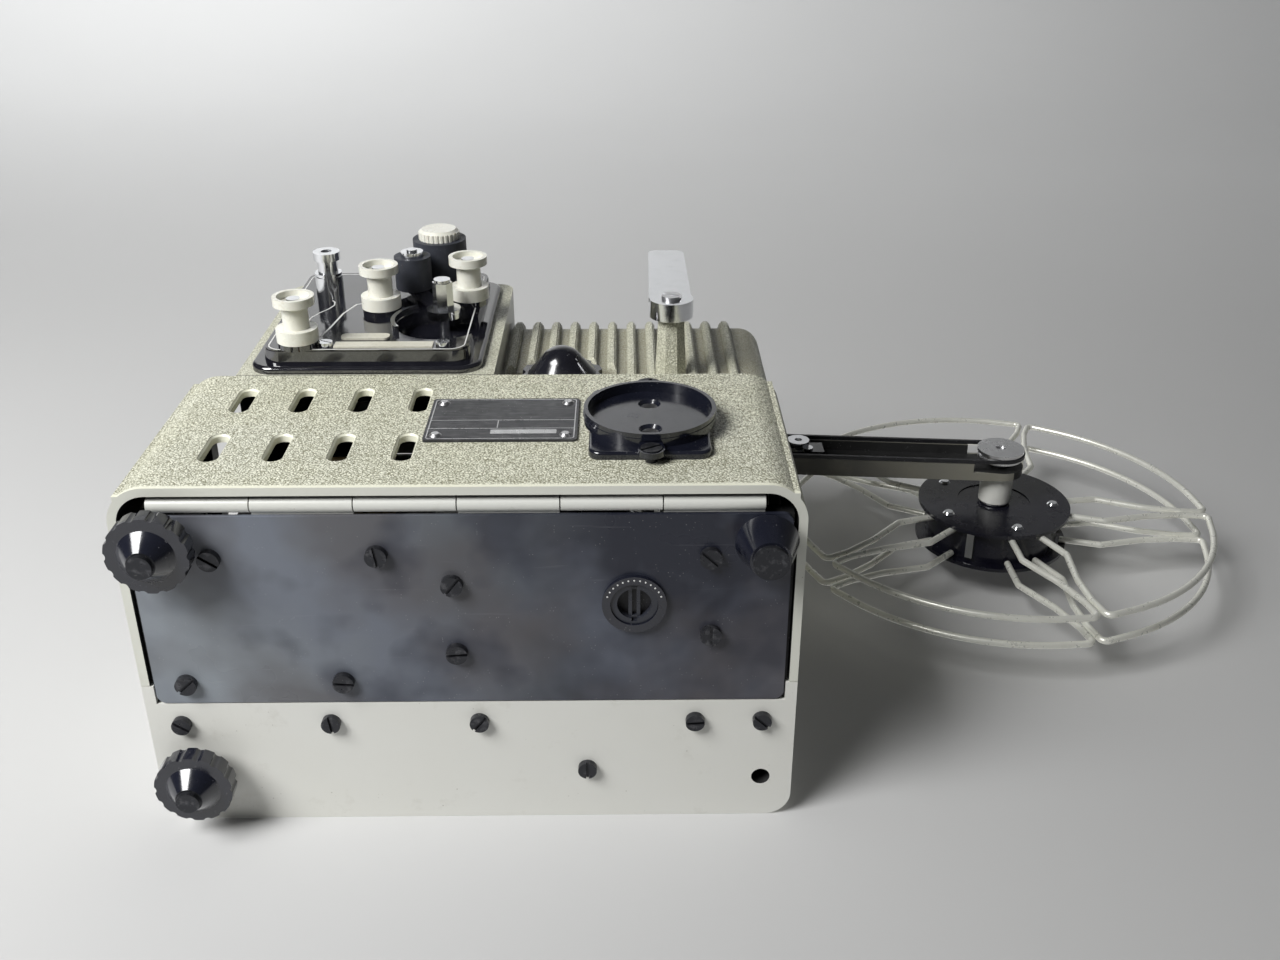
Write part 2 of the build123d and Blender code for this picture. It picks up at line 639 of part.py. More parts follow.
def build_guide_roller(x, z):
    y = PANEL_Y - 2.1
    with BuildPart() as guide_roller:
        rod_y(x, z, y - 4.6, y, 7.2)
        rod_y(x, z, y - 12.1, y - 4.0, 4.5)
        cone_y(x, z, y - 13.0, y - 11.8, 7.0, 4.6)
        rod_y(x, z, y - 16.0, y - 13.0, 7.1)
        rod_y(x, z, y - 17, y - 13.6, 5.6, Mode.SUBTRACT)
        rod_y(x, z, y - 18, y + 1, 1.5 + RUN, Mode.SUBTRACT)
    return guide_roller.part


def build_tape_post():
    """Bright flanged post on a grooved collar."""
    x, z = TAPE_POST
    with BuildPart() as tape_post:
        rod_y(x, z, -86.0, -83.0, 5.0)
        rod_y(x, z, -86.1, -85.4, 2.0, Mode.SUBTRACT)
        rod_y(x, z, -83.0, -78.0, 3.7)
        rod_y(x, z, -78.0, -77.1, 5.1)
        rod_y(x, z, -77.1, -76.6, 4.7)
        rod_y(x, z, -76.6, PANEL_Y, 5.1)
        rod_y(x, z, PANEL_Y, -64.0, 1.5)
    return tape_post.part


def build_tape_guide_arc():
    """Bright quarter arc around the left of the panel's round recess."""
    with BuildPart() as tape_guide_arc:
        with BuildSketch(face(PANEL_Y)):
            with Locations(RECESS):
                Circle(17.6)
                Circle(16.1, mode=Mode.SUBTRACT)
            with BuildLine():
                x, z = RECESS
                far = 40.0
                a0, a1 = math.radians(212), math.radians(486)
                pts = [(x, z)]
                for k in range(9):
                    a = a0 + (a1 - a0) * k / 8
                    pts.append((x + far * math.cos(a), z + far * math.sin(a)))
                Polyline(*pts, close=True)
            make_face(mode=Mode.SUBTRACT)
        extrude(amount=2.4)
    return tape_guide_arc.part


def build_pinch_lever():
    """Bright lever with its hexagonal post, which carries the rubber pinch roller."""
    x, z = HEX_POST
    px, pz = PINCH
    with BuildPart() as pinch_lever:
        rod_y(x, z, -71.6, PANEL_Y - 0.1, 6.2)
        with BuildSketch(face(-71.5)):
            with Locations((x, z)):
                RegularPolygon(3.7, 6)
        extrude(amount=10.0)
        rod_y(x, z, -82.6, -81.4, 3.0)
        rod_y(x, z, -69, -57.0, 2.0)
        ang = math.degrees(math.atan2(pz - z, px - x))
        length = math.hypot(px - x, pz - z)
        mid = ((px + x) / 2, (pz + z) / 2)
        with BuildSketch(face(-69.8)):
            with Locations(Location((mid[0], mid[1]), ang)):
                SlotOverall(length + 8.0, 6.0)
        extrude(amount=1.4)
        rod_y(px, pz, -84.0, -69.8, 1.6)
        rod_y(px, pz, -85.6, -84.0, 4.2)
        rod_y(px, pz, -86.4, -85.5, 2.0)
    return pinch_lever.part


def build_pinch_roller():
    px, pz = PINCH
    with BuildPart() as pinch_roller:
        rod_y(px, pz, -83.8, -71.4, 6.9)
        rod_y(px, pz, -85, -69, 1.6 + RUN, Mode.SUBTRACT)
    return pinch_roller.part


def build_capstan_roller():
    x, z = CAPSTAN
    with BuildPart() as capstan_roller:
        rod_y(x, z, -85.0, -69.4, 10.3)
        rod_y(x, z, -69.4, -56.0, 2.5)
    return capstan_roller.part


def build_capstan_knob():
    x, z = CAPSTAN
    with BuildPart() as capstan_knob:
        with BuildSketch(face(-85.0)):
            with Locations((x, z)):
                Circle(7.9)
                with PolarLocations(8.2, 26):
                    Circle(0.62, mode=Mode.SUBTRACT)
        extrude(amount=2.9)
        cone_y(x, z, -88.9, -87.9, 6.6, 7.6)
    return capstan_knob.part


# ---------------------------------------------------------------- controls on the ribbed side
def build_inching_knob():
    x, z = KNOB
    with BuildPart() as inching_knob:
        with BuildSketch(face(-51.2)):
            with Locations((x, z)):
                Circle(14.4)
                with PolarLocations(15.6, 10):
                    Circle(2.6, mode=Mode.SUBTRACT)
        extrude(amount=4.0)
        cone_y(x, z, -60.5, -55.2, 7.5, 12.2)
        with Locations((x, -56.2, z)):
            Sphere(8.6)
        block(x - 20, x + 20, -51.2, -40, z - 20, z + 20, Mode.SUBTRACT)
        rod_y(x, z, -53, -50, 3.0, Mode.SUBTRACT)
    return inching_knob.part


def build_switch_lever():
    x, z = LEVER
    with BuildPart() as switch_lever:
        rod_y(x, z, -78.7, -73.6, 7.8)
        with BuildSketch(face(-78.6)):
            with Locations((x, z)):
                Circle(7.8)
            with BuildLine():
                Polyline((x - 8.0, z), (x + 7.2, z), (x + 6.4, z + 56.0), (x - 7.2, z + 56.0), close=True)
            make_face()
        extrude(amount=1.5)
        fillet(switch_lever.edges().filter_by(Axis.Y).group_by(Axis.Z)[-1], 3.0)
        with BuildSketch(Plane.YZ.offset(x - 6.0)):
            with BuildLine():
                Polyline((-78.7, z), (-78.7, z + 16), (-73.6, z + 7.4), (-73.6, z), close=True)
            make_face()
        extrude(amount=12.0)
        rod_y(x, z, -84, -70, 2.0, Mode.SUBTRACT)
        rod_y(x, z, -84, -79.4, 3.6, Mode.SUBTRACT)
    return switch_lever.part


def build_lever_screw():
    x, z = LEVER
    with BuildPart() as lever_screw:
        rod_y(x, z, -81.2, -79.4, 3.5)
        rod_y(x, z, -79.4, -77.0, 1.9)
        with Locations(Location((x, -81.2, z), (0, 25, 0))):
            Box(8, 1.1, 1.0, mode=Mode.SUBTRACT)
    return lever_screw.part


def build_lever_shaft():
    x, z = LEVER
    with BuildPart() as lever_shaft:
        rod_y(x, z, -77.0, -36.0, 2.0)
        rod_y(x, z, -42.8, -41.3, 6.0)
        rod_y(x, z, -40.0, -36.0, 7.0)
    return lever_shaft.part


# ---------------------------------------------------------------- drive
def build_motor():
    x, z = KNOB
    with BuildPart() as motor:
        rod_y(x, z, -28.0, -2.0, 24.0)
        rod_y(x, z, -24.0, -6.0, 27.0)
        rod_y(x, z, -31.0, 1.0, 9.0)
        for a in (45, 135, 225, 315):
            dx = 27.5 * math.cos(math.radians(a))
            dz = 27.5 * math.sin(math.radians(a))
            rod_y(x + dx, z + dz, -26.0, Y_WALL0, 3.2)
            rod_y(x + dx, z + dz, -28.0, -26.0, 4.4)
        rod_y(x, z, -32, 2, 3.0 + RUN, Mode.SUBTRACT)
    return motor.part


def build_motor_rotor():
    """Motor shaft with its belt pulley and the lamp fan."""
    x, z = KNOB
    with BuildPart() as motor_rotor:
        rod_y(x, z, -53.0, 12.0, 3.0)
        rod_y(x, z, -38.9, -38.0, 8.0)
        rod_y(x, z, -38.0, -34.0, 6.0)
        rod_y(x, z, -34.0, -33.1, 8.0)
        rod_y(x, z, 3.0, 4.2, 21.0)
        rod_y(x, z, 3.0, 11.0, 6.0)
        with Locations(Location((x, 7.5, z), (90, 0, 0))):
            with PolarLocations(15.5, 12):
                Box(9.0, 0.9, 7.0)
    return motor_rotor.part


def belt(c0, r0, c1, r1, y0, y1, thick):
    """Open belt around two pulleys of radii r0 and r1 at c0 and c1."""
    dx, dz = c1[0] - c0[0], c1[1] - c0[1]
    dist = math.hypot(dx, dz)
    base = math.atan2(dz, dx)
    lean = math.acos((r0 - r1) / dist)

    def loop(grow):
        a, b = base + lean, base - lean
        p = []
        for c, r, ang in ((c0, r0, a), (c1, r1, a), (c1, r1, b), (c0, r0, b)):
            p.append((c[0] + (r + grow) * math.cos(ang), c[1] + (r + grow) * math.sin(ang)))
        far0 = (c0[0] - (r0 + grow) * math.cos(base), c0[1] - (r0 + grow) * math.sin(base))
        far1 = (c1[0] + (r1 + grow) * math.cos(base), c1[1] + (r1 + grow) * math.sin(base))
        return p, far0, far1

    with BuildPart() as strap:
        for grow, mode in ((thick, Mode.ADD), (0.0, Mode.SUBTRACT)):
            p, far0, far1 = loop(grow)
            with BuildSketch(face(y1)):
                with BuildLine():
                    Line(p[0], p[1])
                    ThreePointArc(p[1], far1, p[2])
                    Line(p[2], p[3])
                    ThreePointArc(p[3], far0, p[0])
                make_face()
            extrude(amount=y1 - y0, mode=mode)
    return strap.part


def build_drive_belt():
    return belt(KNOB, 6.35, MAIN, 20.35, -37.4, -34.6, 1.6)


def build_main_shaft():
    x, z = MAIN
    with BuildPart() as main_shaft:
        rod_y(x, z, -42.0, 22.0, 3.0)
        rod_y(x, z, 1.5, 3.4, 8.0)
        rod_y(x, z, 18.0, 20.0, 5.0)
    return main_shaft.part


def build_flywheel():
    x, z = MAIN
    with BuildPart() as flywheel:
        rod_y(x, z, -38.9, -38.0, 22.4)
        rod_y(x, z, -38.0, -34.0, 20.0)
        rod_y(x, z, -34.0, -31.0, 22.4)
        with Locations(Location((x, -35, z), (90, 0, 0))):
            with PolarLocations(12.5, 5):
                Cylinder(3.6, 20, mode=Mode.SUBTRACT)
        rod_y(x, z, -40, -30, 3.0, Mode.SUBTRACT)
    return flywheel.part


def build_drum_shutter():
    x, z = MAIN
    with BuildPart() as drum_shutter:
        rod_y(x, z, 22.0, 43.0, 15.5)
        rod_y(x, z, 23.4, 44.0, 14.6, Mode.SUBTRACT)
        rod_y(x, z, 20.0, 25.0, 5.0)
        for k in range(4):
            with Locations(Location((x, 35.2, z), (0, 90 * k, 0))):
                with Locations((15, 0, 0)):
                    Box(8, 11.4, 11.0, mode=Mode.SUBTRACT)
        rod_y(x, z, 19, 22.0, 3.0, Mode.SUBTRACT)
    return drum_shutter.part


def build_sprocket(x, z):
    with BuildPart() as sprocket:
        rod_y(x, z, 31.0, 42.5, 8.6)
        rod_y(x, z, 30.0, 31.2, 10.2)
        rod_y(x, z, 42.3, 43.5, 10.2)
        rod_y(x, z, 6.0, 47.0, 2.5)
        rod_y(x, z, 17.8, 30.0, 3.8)
        rod_y(x, z, 4.0, 5.8, 5.0)
        rod_y(x, z, 5.0, 6.2, 2.5)
        rod_y(x, z, 43.5, 47.0, 4.0)
        for k in range(12):
            with Locations(Location((x, 32.6, z), (0, 30 * k, 0))):
                with Locations((8.9, 0, 0)):
                    Box(1.6, 0.9, 1.0)
    return sprocket.part


def build_claw():
    x, z = CLAW
    with BuildPart() as claw:
        rod_y(x, z, 24.0, 26.0, 3.4)
        block(x - 1.2, x + 1.2, 24.0, 26.0, z, 122.0)
        block(-37.6, x + 1.2, 24.0, 33.6, 120.0, 121.2)
        block(-39.6, -37.4, 32.2, 33.0, 120.2, 121.0)
        rod_y(x, z, 20, 30, 1.5 + RUN, Mode.SUBTRACT)
    return claw.part


def build_film_gate():
    with BuildPart() as film_gate:
        block(-40.6, -38.6, 28.6, 45.0, 106.0, 156.0)
        block(-40.6, -38.6, Y_WALL1, 28.8, 110.0, 118.0)
        block(-40.6, -38.6, Y_WALL1, 28.8, 142.0, 150.0)
        block(-46.0, -31.5, Y_WALL1, 19.2, 110.0, 116.5)
        block(-46.0, -31.5, Y_WALL1, 19.2, 144.0, 150.0)
        block(-42, -38, 34.5, 39.0, 128.3, 131.7, Mode.SUBTRACT)
        block(-42, -38, 31.6, 33.6, 116.5, 125.0, Mode.SUBTRACT)
        rod_y(CLAW[0], CLAW[1], 17, 21, 3.3, Mode.SUBTRACT)
    return film_gate.part


def build_pressure_plate():
    with BuildPart() as pressure_plate:
        block(-42.4, -41.2, 31.4, 42.2, 110.0, 152.0)
        block(-46.2, -42.4, 34.0, 39.6, 113.0, 116.0)
        block(-46.2, -42.4, 34.0, 39.6, 144.5, 147.5)
        block(-43, -41, 34.3, 39.2, 127.5, 132.5, Mode.SUBTRACT)
        block(-43, -41, 31.8, 33.4, 115.0, 126.0, Mode.SUBTRACT)
    return pressure_plate.part


# ---------------------------------------------------------------- lens
def build_lens_carrier():
    """Hinged gate door with the lens bore."""
    x, y = GATE_PIN
    with BuildPart() as lens_carrier:
        block(-68.0, -46.2, 21.0, 53.5, 111.0, 149.0)
        fillet(lens_carrier.edges().filter_by(Axis.X), 5.0)
        block(x, -66.0, 18.2, 22.6, 120.0, 140.0)
        rod_z(x, y, 120.0, 140.0, 2.6)
        rod_x(36.75, Z_AXIS, -100, -40, 14.0 + RUN, Mode.SUBTRACT)
        rod_z(x, y, 100, 160, 1.5 + RUN, Mode.SUBTRACT)
    return lens_carrier.part


def build_lens_tube():
    with BuildPart() as lens_tube:
        rod_x(36.75, Z_AXIS, -95.9, -48.5, 14.0)
        rod_x(36.75, Z_AXIS, -101.0, -47, 11.0, Mode.SUBTRACT)
    return lens_tube.part


def build_focusing_ring():
    """Knurled ring on the front of the lens tube, with the bevelled front opening."""
    with BuildPart() as focusing_ring:
        rod_x(36.75, Z_AXIS, -100.0, -89.5, 16.5)
        rod_x(36.75, Z_AXIS, -101.0, -89.0, 11.0, Mode.SUBTRACT)
        rod_x(36.75, Z_AXIS, -96.0, -89.0, 14.0 + RUN, Mode.SUBTRACT)
        with Locations(Location((-101.0, 36.75, Z_AXIS), (0, 90, 0))):
            Cone(15.0, 11.0, 9.0, mode=Mode.SUBTRACT)
        with Locations(Location((-94.5, 36.75, Z_AXIS), (0, 90, 0))):
            with PolarLocations(16.7, 36):
                Cylinder(0.55, 8.0, mode=Mode.SUBTRACT)
    return focusing_ring.part


def lens_barrel_parts():
    return group(build_lens_tube(), build_focusing_ring())


def build_lens_glass():
    """Front and rear elements of the projection lens."""
    with BuildPart() as lens_glass:
        rod_x(36.75, Z_AXIS, -94.0, -90.0, 10.9)
        with BuildPart(mode=Mode.PRIVATE) as dome:
            with Locations((-64.0, 36.75, Z_AXIS)):
                Sphere(31.9)
            block(-94.0, 0, 0, 80, 90, 170, Mode.SUBTRACT)
        add(dome.part)
        rod_x(36.75, Z_AXIS, -55.0, -51.0, 10.9)
    return lens_glass.part


# ---------------------------------------------------------------- lamp
def build_lamp_house():
    with BuildPart() as lamp_house:
        with BuildSketch(Plane.XY.offset(102.0)):
            with Locations((53.5, (17.6 + 56.0) / 2)):
                Rectangle(89.0, 56.0 - 17.6)
        extrude(amount=68.0)
        fillet(lamp_house.edges().filter_by(Axis.Z).group_by(Axis.Y)[-1], 9.0)
        fillet(lamp_house.faces().sort_by(Axis.Z)[-1].edges().filter_by(Axis.Y, reverse=True)
               .sort_by(Axis.Y)[1:], 5.0)
        block(10.6, 96.4, 10.0, 54.4, 103.6, 168.4, Mode.SUBTRACT)
        rod_x(36.75, Z_AXIS, 5, 12, 9.0, Mode.SUBTRACT)
        for i in range(9):
            x = 21.0 + 8.2 * i
            with BuildSketch(face(60)):
                with Locations((x, 148)):
                    SlotOverall(22, 3.2, rotation=90)
            extrude(amount=7.0, mode=Mode.SUBTRACT)
            with BuildSketch(Plane.XY.offset(165)):
                with Locations((x, 36)):
                    SlotOverall(22, 3.2, rotation=90)
            extrude(amount=8.0, mode=Mode.SUBTRACT)
        rod_y(86.0, 112.0, 50, 60, 2.0 + RUN, Mode.SUBTRACT)
    return lamp_house.part


def build_lamp_house_screw():
    with BuildPart() as lamp_house_screw:
        rod_y(86.0, 112.0, Y_WALL1, 56.2, 2.0)
        with BuildSketch(face(61.0)):
            with Locations((86.0, 112.0)):
                Circle(6.5)
                with PolarLocations(6.9, 20):
                    Circle(0.6, mode=Mode.SUBTRACT)
        extrude(amount=4.9)
    return lamp_house_screw.part


def build_lamp_socket():
    with BuildPart() as lamp_socket:
        rod_z(48.0, 36.75, 106.0, 117.0, 11.0)
        block(40.0, 47.5, Y_WALL1, 30.0, 106.0, 109.0)
        block(37.5, 58.5, Y_WALL1, 19.0, 106.0, 109.9)
        rod_z(48.0, 36.75, 109.0, 118.0, 9.1, Mode.SUBTRACT)
    return lamp_socket.part


def build_lamp_base():
    with BuildPart() as lamp_base:
        rod_z(48.0, 36.75, 109.2, 119.0, 9.0)
    return lamp_base.part


def build_lamp_bulb():
    with BuildPart() as lamp_bulb:
        rod_z(48.0, 36.75, 119.0, 146.0, 10.5)
        with Locations((48.0, 36.75, 146.0)):
            Sphere(10.5)
        rod_z(48.0, 36.75, 118.5, 146.0, 9.7, Mode.SUBTRACT)
        with Locations((48.0, 36.75, 146.0)):
            Sphere(9.7, mode=Mode.SUBTRACT)
    return lamp_bulb.part


def build_lamp_filament():
    with BuildPart() as lamp_filament:
        for dy in (-3.0, -1.0, 1.0, 3.0):
            rod_z(48.0, 36.75 + dy, 126.5, 133.5, 0.5)
        block(47.6, 48.4, 33.2, 40.3, 133.0, 133.8)
        block(47.6, 48.4, 33.2, 40.3, 126.2, 127.0)
        for dy in (-3.4, 3.4):
            rod_z(48.0, 36.75 + dy, 119.0, 127.0, 0.4)
    return lamp_filament.part


def build_reflector():
    with BuildPart() as reflector:
        with BuildPart(mode=Mode.PRIVATE) as bowl:
            with BuildSketch(Plane.XY):
                with BuildLine():
                    ThreePointArc((18.5, 15.28), (22.21, 9.1), (24.0, 0.0))
                    Line((24.0, 0.0), (23.0, 0.0))
                    ThreePointArc((23.0, 0.0), (21.25, 8.8), (17.7, 14.69))
                    Line((17.7, 14.69), (18.5, 15.28))
                make_face()
            revolve(axis=Axis.X, revolution_arc=360)
        add(bowl.part.moved(Location((48.0, 36.75, Z_AXIS))))
        block(67.0, 68.6, Y_WALL1, 26.0, 126.0, 134.0)
        block(67.0, 76.0, Y_WALL1, 19.0, 126.0, 134.0)
    return reflector.part


def build_condenser_mount():
    with BuildPart() as condenser_mount:
        rod_x(36.75, Z_AXIS, 12.0, 28.0, 14.0)
        rod_x(36.75, Z_AXIS, 11.0, 29.0, 12.05, Mode.SUBTRACT)
        block(14.0, 26.0, Y_WALL1, 24.0, 126.0, 134.0)
    return condenser_mount.part


def build_condenser_lens():
    with BuildPart() as condenser_lens:
        rod_x(36.75, Z_AXIS, 13.0, 18.5, 12.0)
        rod_x(36.75, Z_AXIS, 21.0, 26.5, 12.0)
    return condenser_lens.part


def build_film_roller():
    with BuildPart() as film_roller:
        rod_y(92.0, 92.0, 30.4, 43.2, 5.2)
        with BuildPart(mode=Mode.PRIVATE) as waist:
            rod_y(92.0, 92.0, 32.8, 40.8, 6.0)
            rod_y(92.0, 92.0, 32.0, 41.5, 4.0, Mode.SUBTRACT)
        add(waist.part, mode=Mode.SUBTRACT)
        rod_y(92.0, 92.0, 30, 44, 2.0 + RUN, Mode.SUBTRACT)
    return film_roller.part


# ---------------------------------------------------------------- transformer
def build_transformer_core():
    with BuildPart() as transformer_core:
        block(-74.0, -16.0, -36.0, 4.0, 8.0, 58.0)
        block(-66.0, -54.0, -37, 5, 17.0, 49.0, Mode.SUBTRACT)
        block(-36.0, -24.0, -37, 5, 17.0, 49.0, Mode.SUBTRACT)
    return transformer_core.part


def build_transformer_coil():
    with BuildPart() as transformer_coil:
        with BuildSketch(Plane.XY.offset(17.3)):
            with Locations((-45.0, -16.0)):
                RectangleRounded(41.4, 62.0, 7.0)
                Rectangle(18.4, 40.4, mode=Mode.SUBTRACT)
        extrude(amount=31.4)
    return transformer_coil.part


# ---------------------------------------------------------------- reel arms
def arm(pivot, tip, spindle_r):
    """Channel arm, open towards the cover side, with a bearing boss at its tip."""
    dx, dz = tip[0] - pivot[0], tip[1] - pivot[1]
    length = math.hypot(dx, dz)
    ang = math.degrees(math.atan2(dz, dx))
    place = Plane(origin=(pivot[0], 0, pivot[1]), x_dir=(dx / length, 0, dz / length), z_dir=(0, -1, 0))
    floor = place.offset(-ARM_Y1)
    with BuildPart() as channel:
        with BuildSketch(floor):
            with Locations((length / 2, 0)):
                SlotCenterToCenter(length, 19.6)
        extrude(amount=3.4)
        with BuildSketch(floor):
            with Locations((length / 2 - 6.0, 0)):
                Rectangle(length - 12.0, 19.6)
            with Locations((0, 0)):
                Circle(9.8)
        extrude(amount=ARM_Y1 - ARM_Y0)
        with BuildSketch(place.offset(-(ARM_Y1 - 3.4))):
            with Locations((length / 2, 0)):
                Rectangle(length + 20.0, 16.6)
            with Locations((0, 0)):
                Circle(8.3)
        extrude(amount=12.0, mode=Mode.SUBTRACT)
        with BuildSketch(floor.offset(1.0)):
            with Locations((length / 2, 0)):
                SlotCenterToCenter(length - 44.0, 9.0)
        extrude(amount=5.0, mode=Mode.SUBTRACT)
        rod_y(tip[0], tip[1], ARM_Y1 - 0.5, 27.0, 6.7)
        rod_y(tip[0], tip[1], 0, 30, spindle_r + RUN, Mode.SUBTRACT)
        rod_y(pivot[0], pivot[1], 0, 15, 3.0 + RUN, Mode.SUBTRACT)
    return channel.part


def build_take_up_arm():
    return arm((PIVOT_X, PIVOT_Z), (REEL_X, REEL_Z), 3.9)


def build_supply_arm():
    return arm((SUP_X, SUP_Z0), (SUP_X, SUP_Z1), 3.9)


LATCH = (121.5, 164.3)


def build_arm_latch():
    """Small plate, screw and bright button on the take-up arm near its root."""
    x, z = LATCH
    with BuildPart() as arm_latch:
        block(x - 4.0, x + 10.5, 5.8, 6.8, z - 5.4, z + 3.6)
        block(x - 1.5, x + 1.5, 6.8, ARM_Y1 - 1.0, z - 1.5, z + 1.5)
        rod_y(x, z, 2.6, 5.8, 4.6)
        rod_y(x, z, 2.5, 3.6, 1.5, Mode.SUBTRACT)
        rod_y(x + 3.6, z - 3.6, 4.4, 5.8, 2.2)
    return arm_latch.part


def build_arm_pulley():
    """Driving pulley in the root of the take-up arm, with its shaft into the housing."""
    with BuildPart() as arm_pulley:
        rod_y(PIVOT_X, PIVOT_Z, 3.4, 4.6, 9.4)
        rod_y(PIVOT_X, PIVOT_Z, 4.6, 6.4, 8.4)
        rod_y(PIVOT_X, PIVOT_Z, 6.4, 8.0, 7.9)
        rod_y(PIVOT_X, PIVOT_Z, -6.0, 3.4, 3.0)
        rod_y(PIVOT_X, PIVOT_Z, -8.0, -1.2, 6.0)
    return arm_pulley.part


def build_arm_belt():
    return belt((PIVOT_X, PIVOT_Z), 8.75, (REEL_X, REEL_Z), 8.76, 4.8, 6.3, 1.3)


def build_take_up_spindle():
    """Spindle with its driven pulley and bright cap."""
    x, z = REEL_X, REEL_Z
    with BuildPart() as take_up_spindle:
        rod_y(x, z, 3.4, 4.6, 9.6)
        rod_y(x, z, 4.6, 6.4, 8.4)
        rod_y(x, z, 6.4, 7.6, 9.2)
        rod_y(x, z, 7.6, 46.6, 3.9)
        cone_y(x, z, 46.6, 49.6, 3.9, 2.4)
        rod_y(x, z, 3.2, 4.2, 2.0, Mode.SUBTRACT)
        rod_y(x, z, 27.2, 28.1, 6.0)
    return take_up_spindle.part


def build_supply_spindle():
    x, z = SUP_X, SUP_Z1
    with BuildPart() as supply_spindle:
        rod_y(x, z, 8.0, 10.4, 7.6)
        rod_y(x, z, 9.0, 46.6, 3.9)
        cone_y(x, z, 46.6, 49.6, 3.9, 2.4)
        rod_y(x, z, 27.2, 28.1, 6.0)
    return supply_spindle.part


# ---------------------------------------------------------------- reel
def build_reel_hub():
    x, z = REEL_X, REEL_Z
    y0, y1 = FLANGE_Y[0] - WIRE_R, FLANGE_Y[1] + WIRE_R
    with BuildPart() as reel_hub:
        rod_y(x, z, y0 - 1.5, y0, 31.4)
        rod_y(x, z, y0, y1, 27.2)
        rod_y(x, z, y1, y1 + 1.5, 31.4)
        rod_y(x, z, y0 - 1.6, y0 - 1.1, 15.0, Mode.SUBTRACT)
        for a in HUB_RIVET_ANGLES:
            r = math.radians(a)
            rod_y(x + 24.3 * math.cos(r), z + 24.3 * math.sin(r), y0 - 3, y1 + 3, 1.55, Mode.SUBTRACT)
        rod_y(x, z, 20, 50, 3.95, Mode.SUBTRACT)
        # film slot across the hub
        block(x - 1.0, x + 1.0, y0 + 1.8, y1 - 1.8, z + 14.0, z + 28.0, Mode.SUBTRACT)
    return reel_hub.part


JUNCTIONS = [66.6 + 72 * k for k in range(5)]
HUB_RIVET_ANGLES = [a - 3.6 for a in JUNCTIONS]


def build_reel_rivets():
    x, z = REEL_X, REEL_Z
    y0, y1 = FLANGE_Y[0] - WIRE_R - 1.5, FLANGE_Y[1] + WIRE_R + 1.5
    with BuildPart() as reel_rivets:
        for a in HUB_RIVET_ANGLES:
            r = math.radians(a)
            px, pz = x + 24.3 * math.cos(r), z + 24.3 * math.sin(r)
            rod_y(px, pz, y0 - 0.1, y1 + 0.1, 1.5)
            cone_y(px, pz, y0 - 0.9, y0, 1.6, 2.4)
            cone_y(px, pz, y1, y1 + 0.9, 2.4, 1.6)
    return reel_rivets.part


def build_reel_flange(y):
    """Five bent wire petals, each from the hub to the rim and back."""
    def at(radius, deg):
        r = math.radians(deg)
        return (REEL_X + radius * math.cos(r), REEL_Z + radius * math.sin(r))

    with BuildPart() as reel_flange:
        for a0 in JUNCTIONS:
            a1 = a0 + 72
            mid = (a0 + a1) / 2
            turn = 7.0  # the wire meets the rim circle along its tangent
            bend = REEL_R / math.cos(math.radians(turn))
            pts = [at(28.6, a0 + 12.3), at(45.5, a0 + 12.3), at(63.0, a0 + 3.6), at(78.0, a0 + 1.2),
                   at(bend, a0 + 1.2), at(REEL_R, a0 + 1.2 + turn)]
            end = [at(REEL_R, a1 - 1.2 - turn), at(bend, a1 - 1.2), at(78.0, a1 - 1.2),
                   at(63.0, a1 - 3.6), at(45.5, a1 - 12.3), at(28.6, a1 - 12.3)]
            with BuildLine(face(y)) as path:
                FilletPolyline(*pts, radius=2.4)
                ThreePointArc(pts[-1], at(REEL_R, mid), end[0])
                FilletPolyline(*end, radius=2.4)
            start = face(y).from_local_coords(pts[0] + (0,))
            aim = face(y).from_local_coords(pts[1] + (0,)) - start
            with BuildSketch(Plane(origin=start, z_dir=aim)):
                Circle(WIRE_R)
            sweep(path=path.wires()[0])
    return reel_flange.part


def build_reel_clip():
    """Bright film clip on the hub's drum."""
    x, z = REEL_X, REEL_Z
    a = math.radians(-122)
    with BuildPart() as reel_clip:
        with Locations(Location((x + 28.0 * math.cos(a), 36.75, z + 28.0 * math.sin(a)), (0, 122, 0))):
            Box(1.4, 11.0, 3.0)
    return reel_clip.part


# ---------------------------------------------------------------- all pieces
def lever_parts():
    return group(build_lever_shaft(), build_lever_screw())


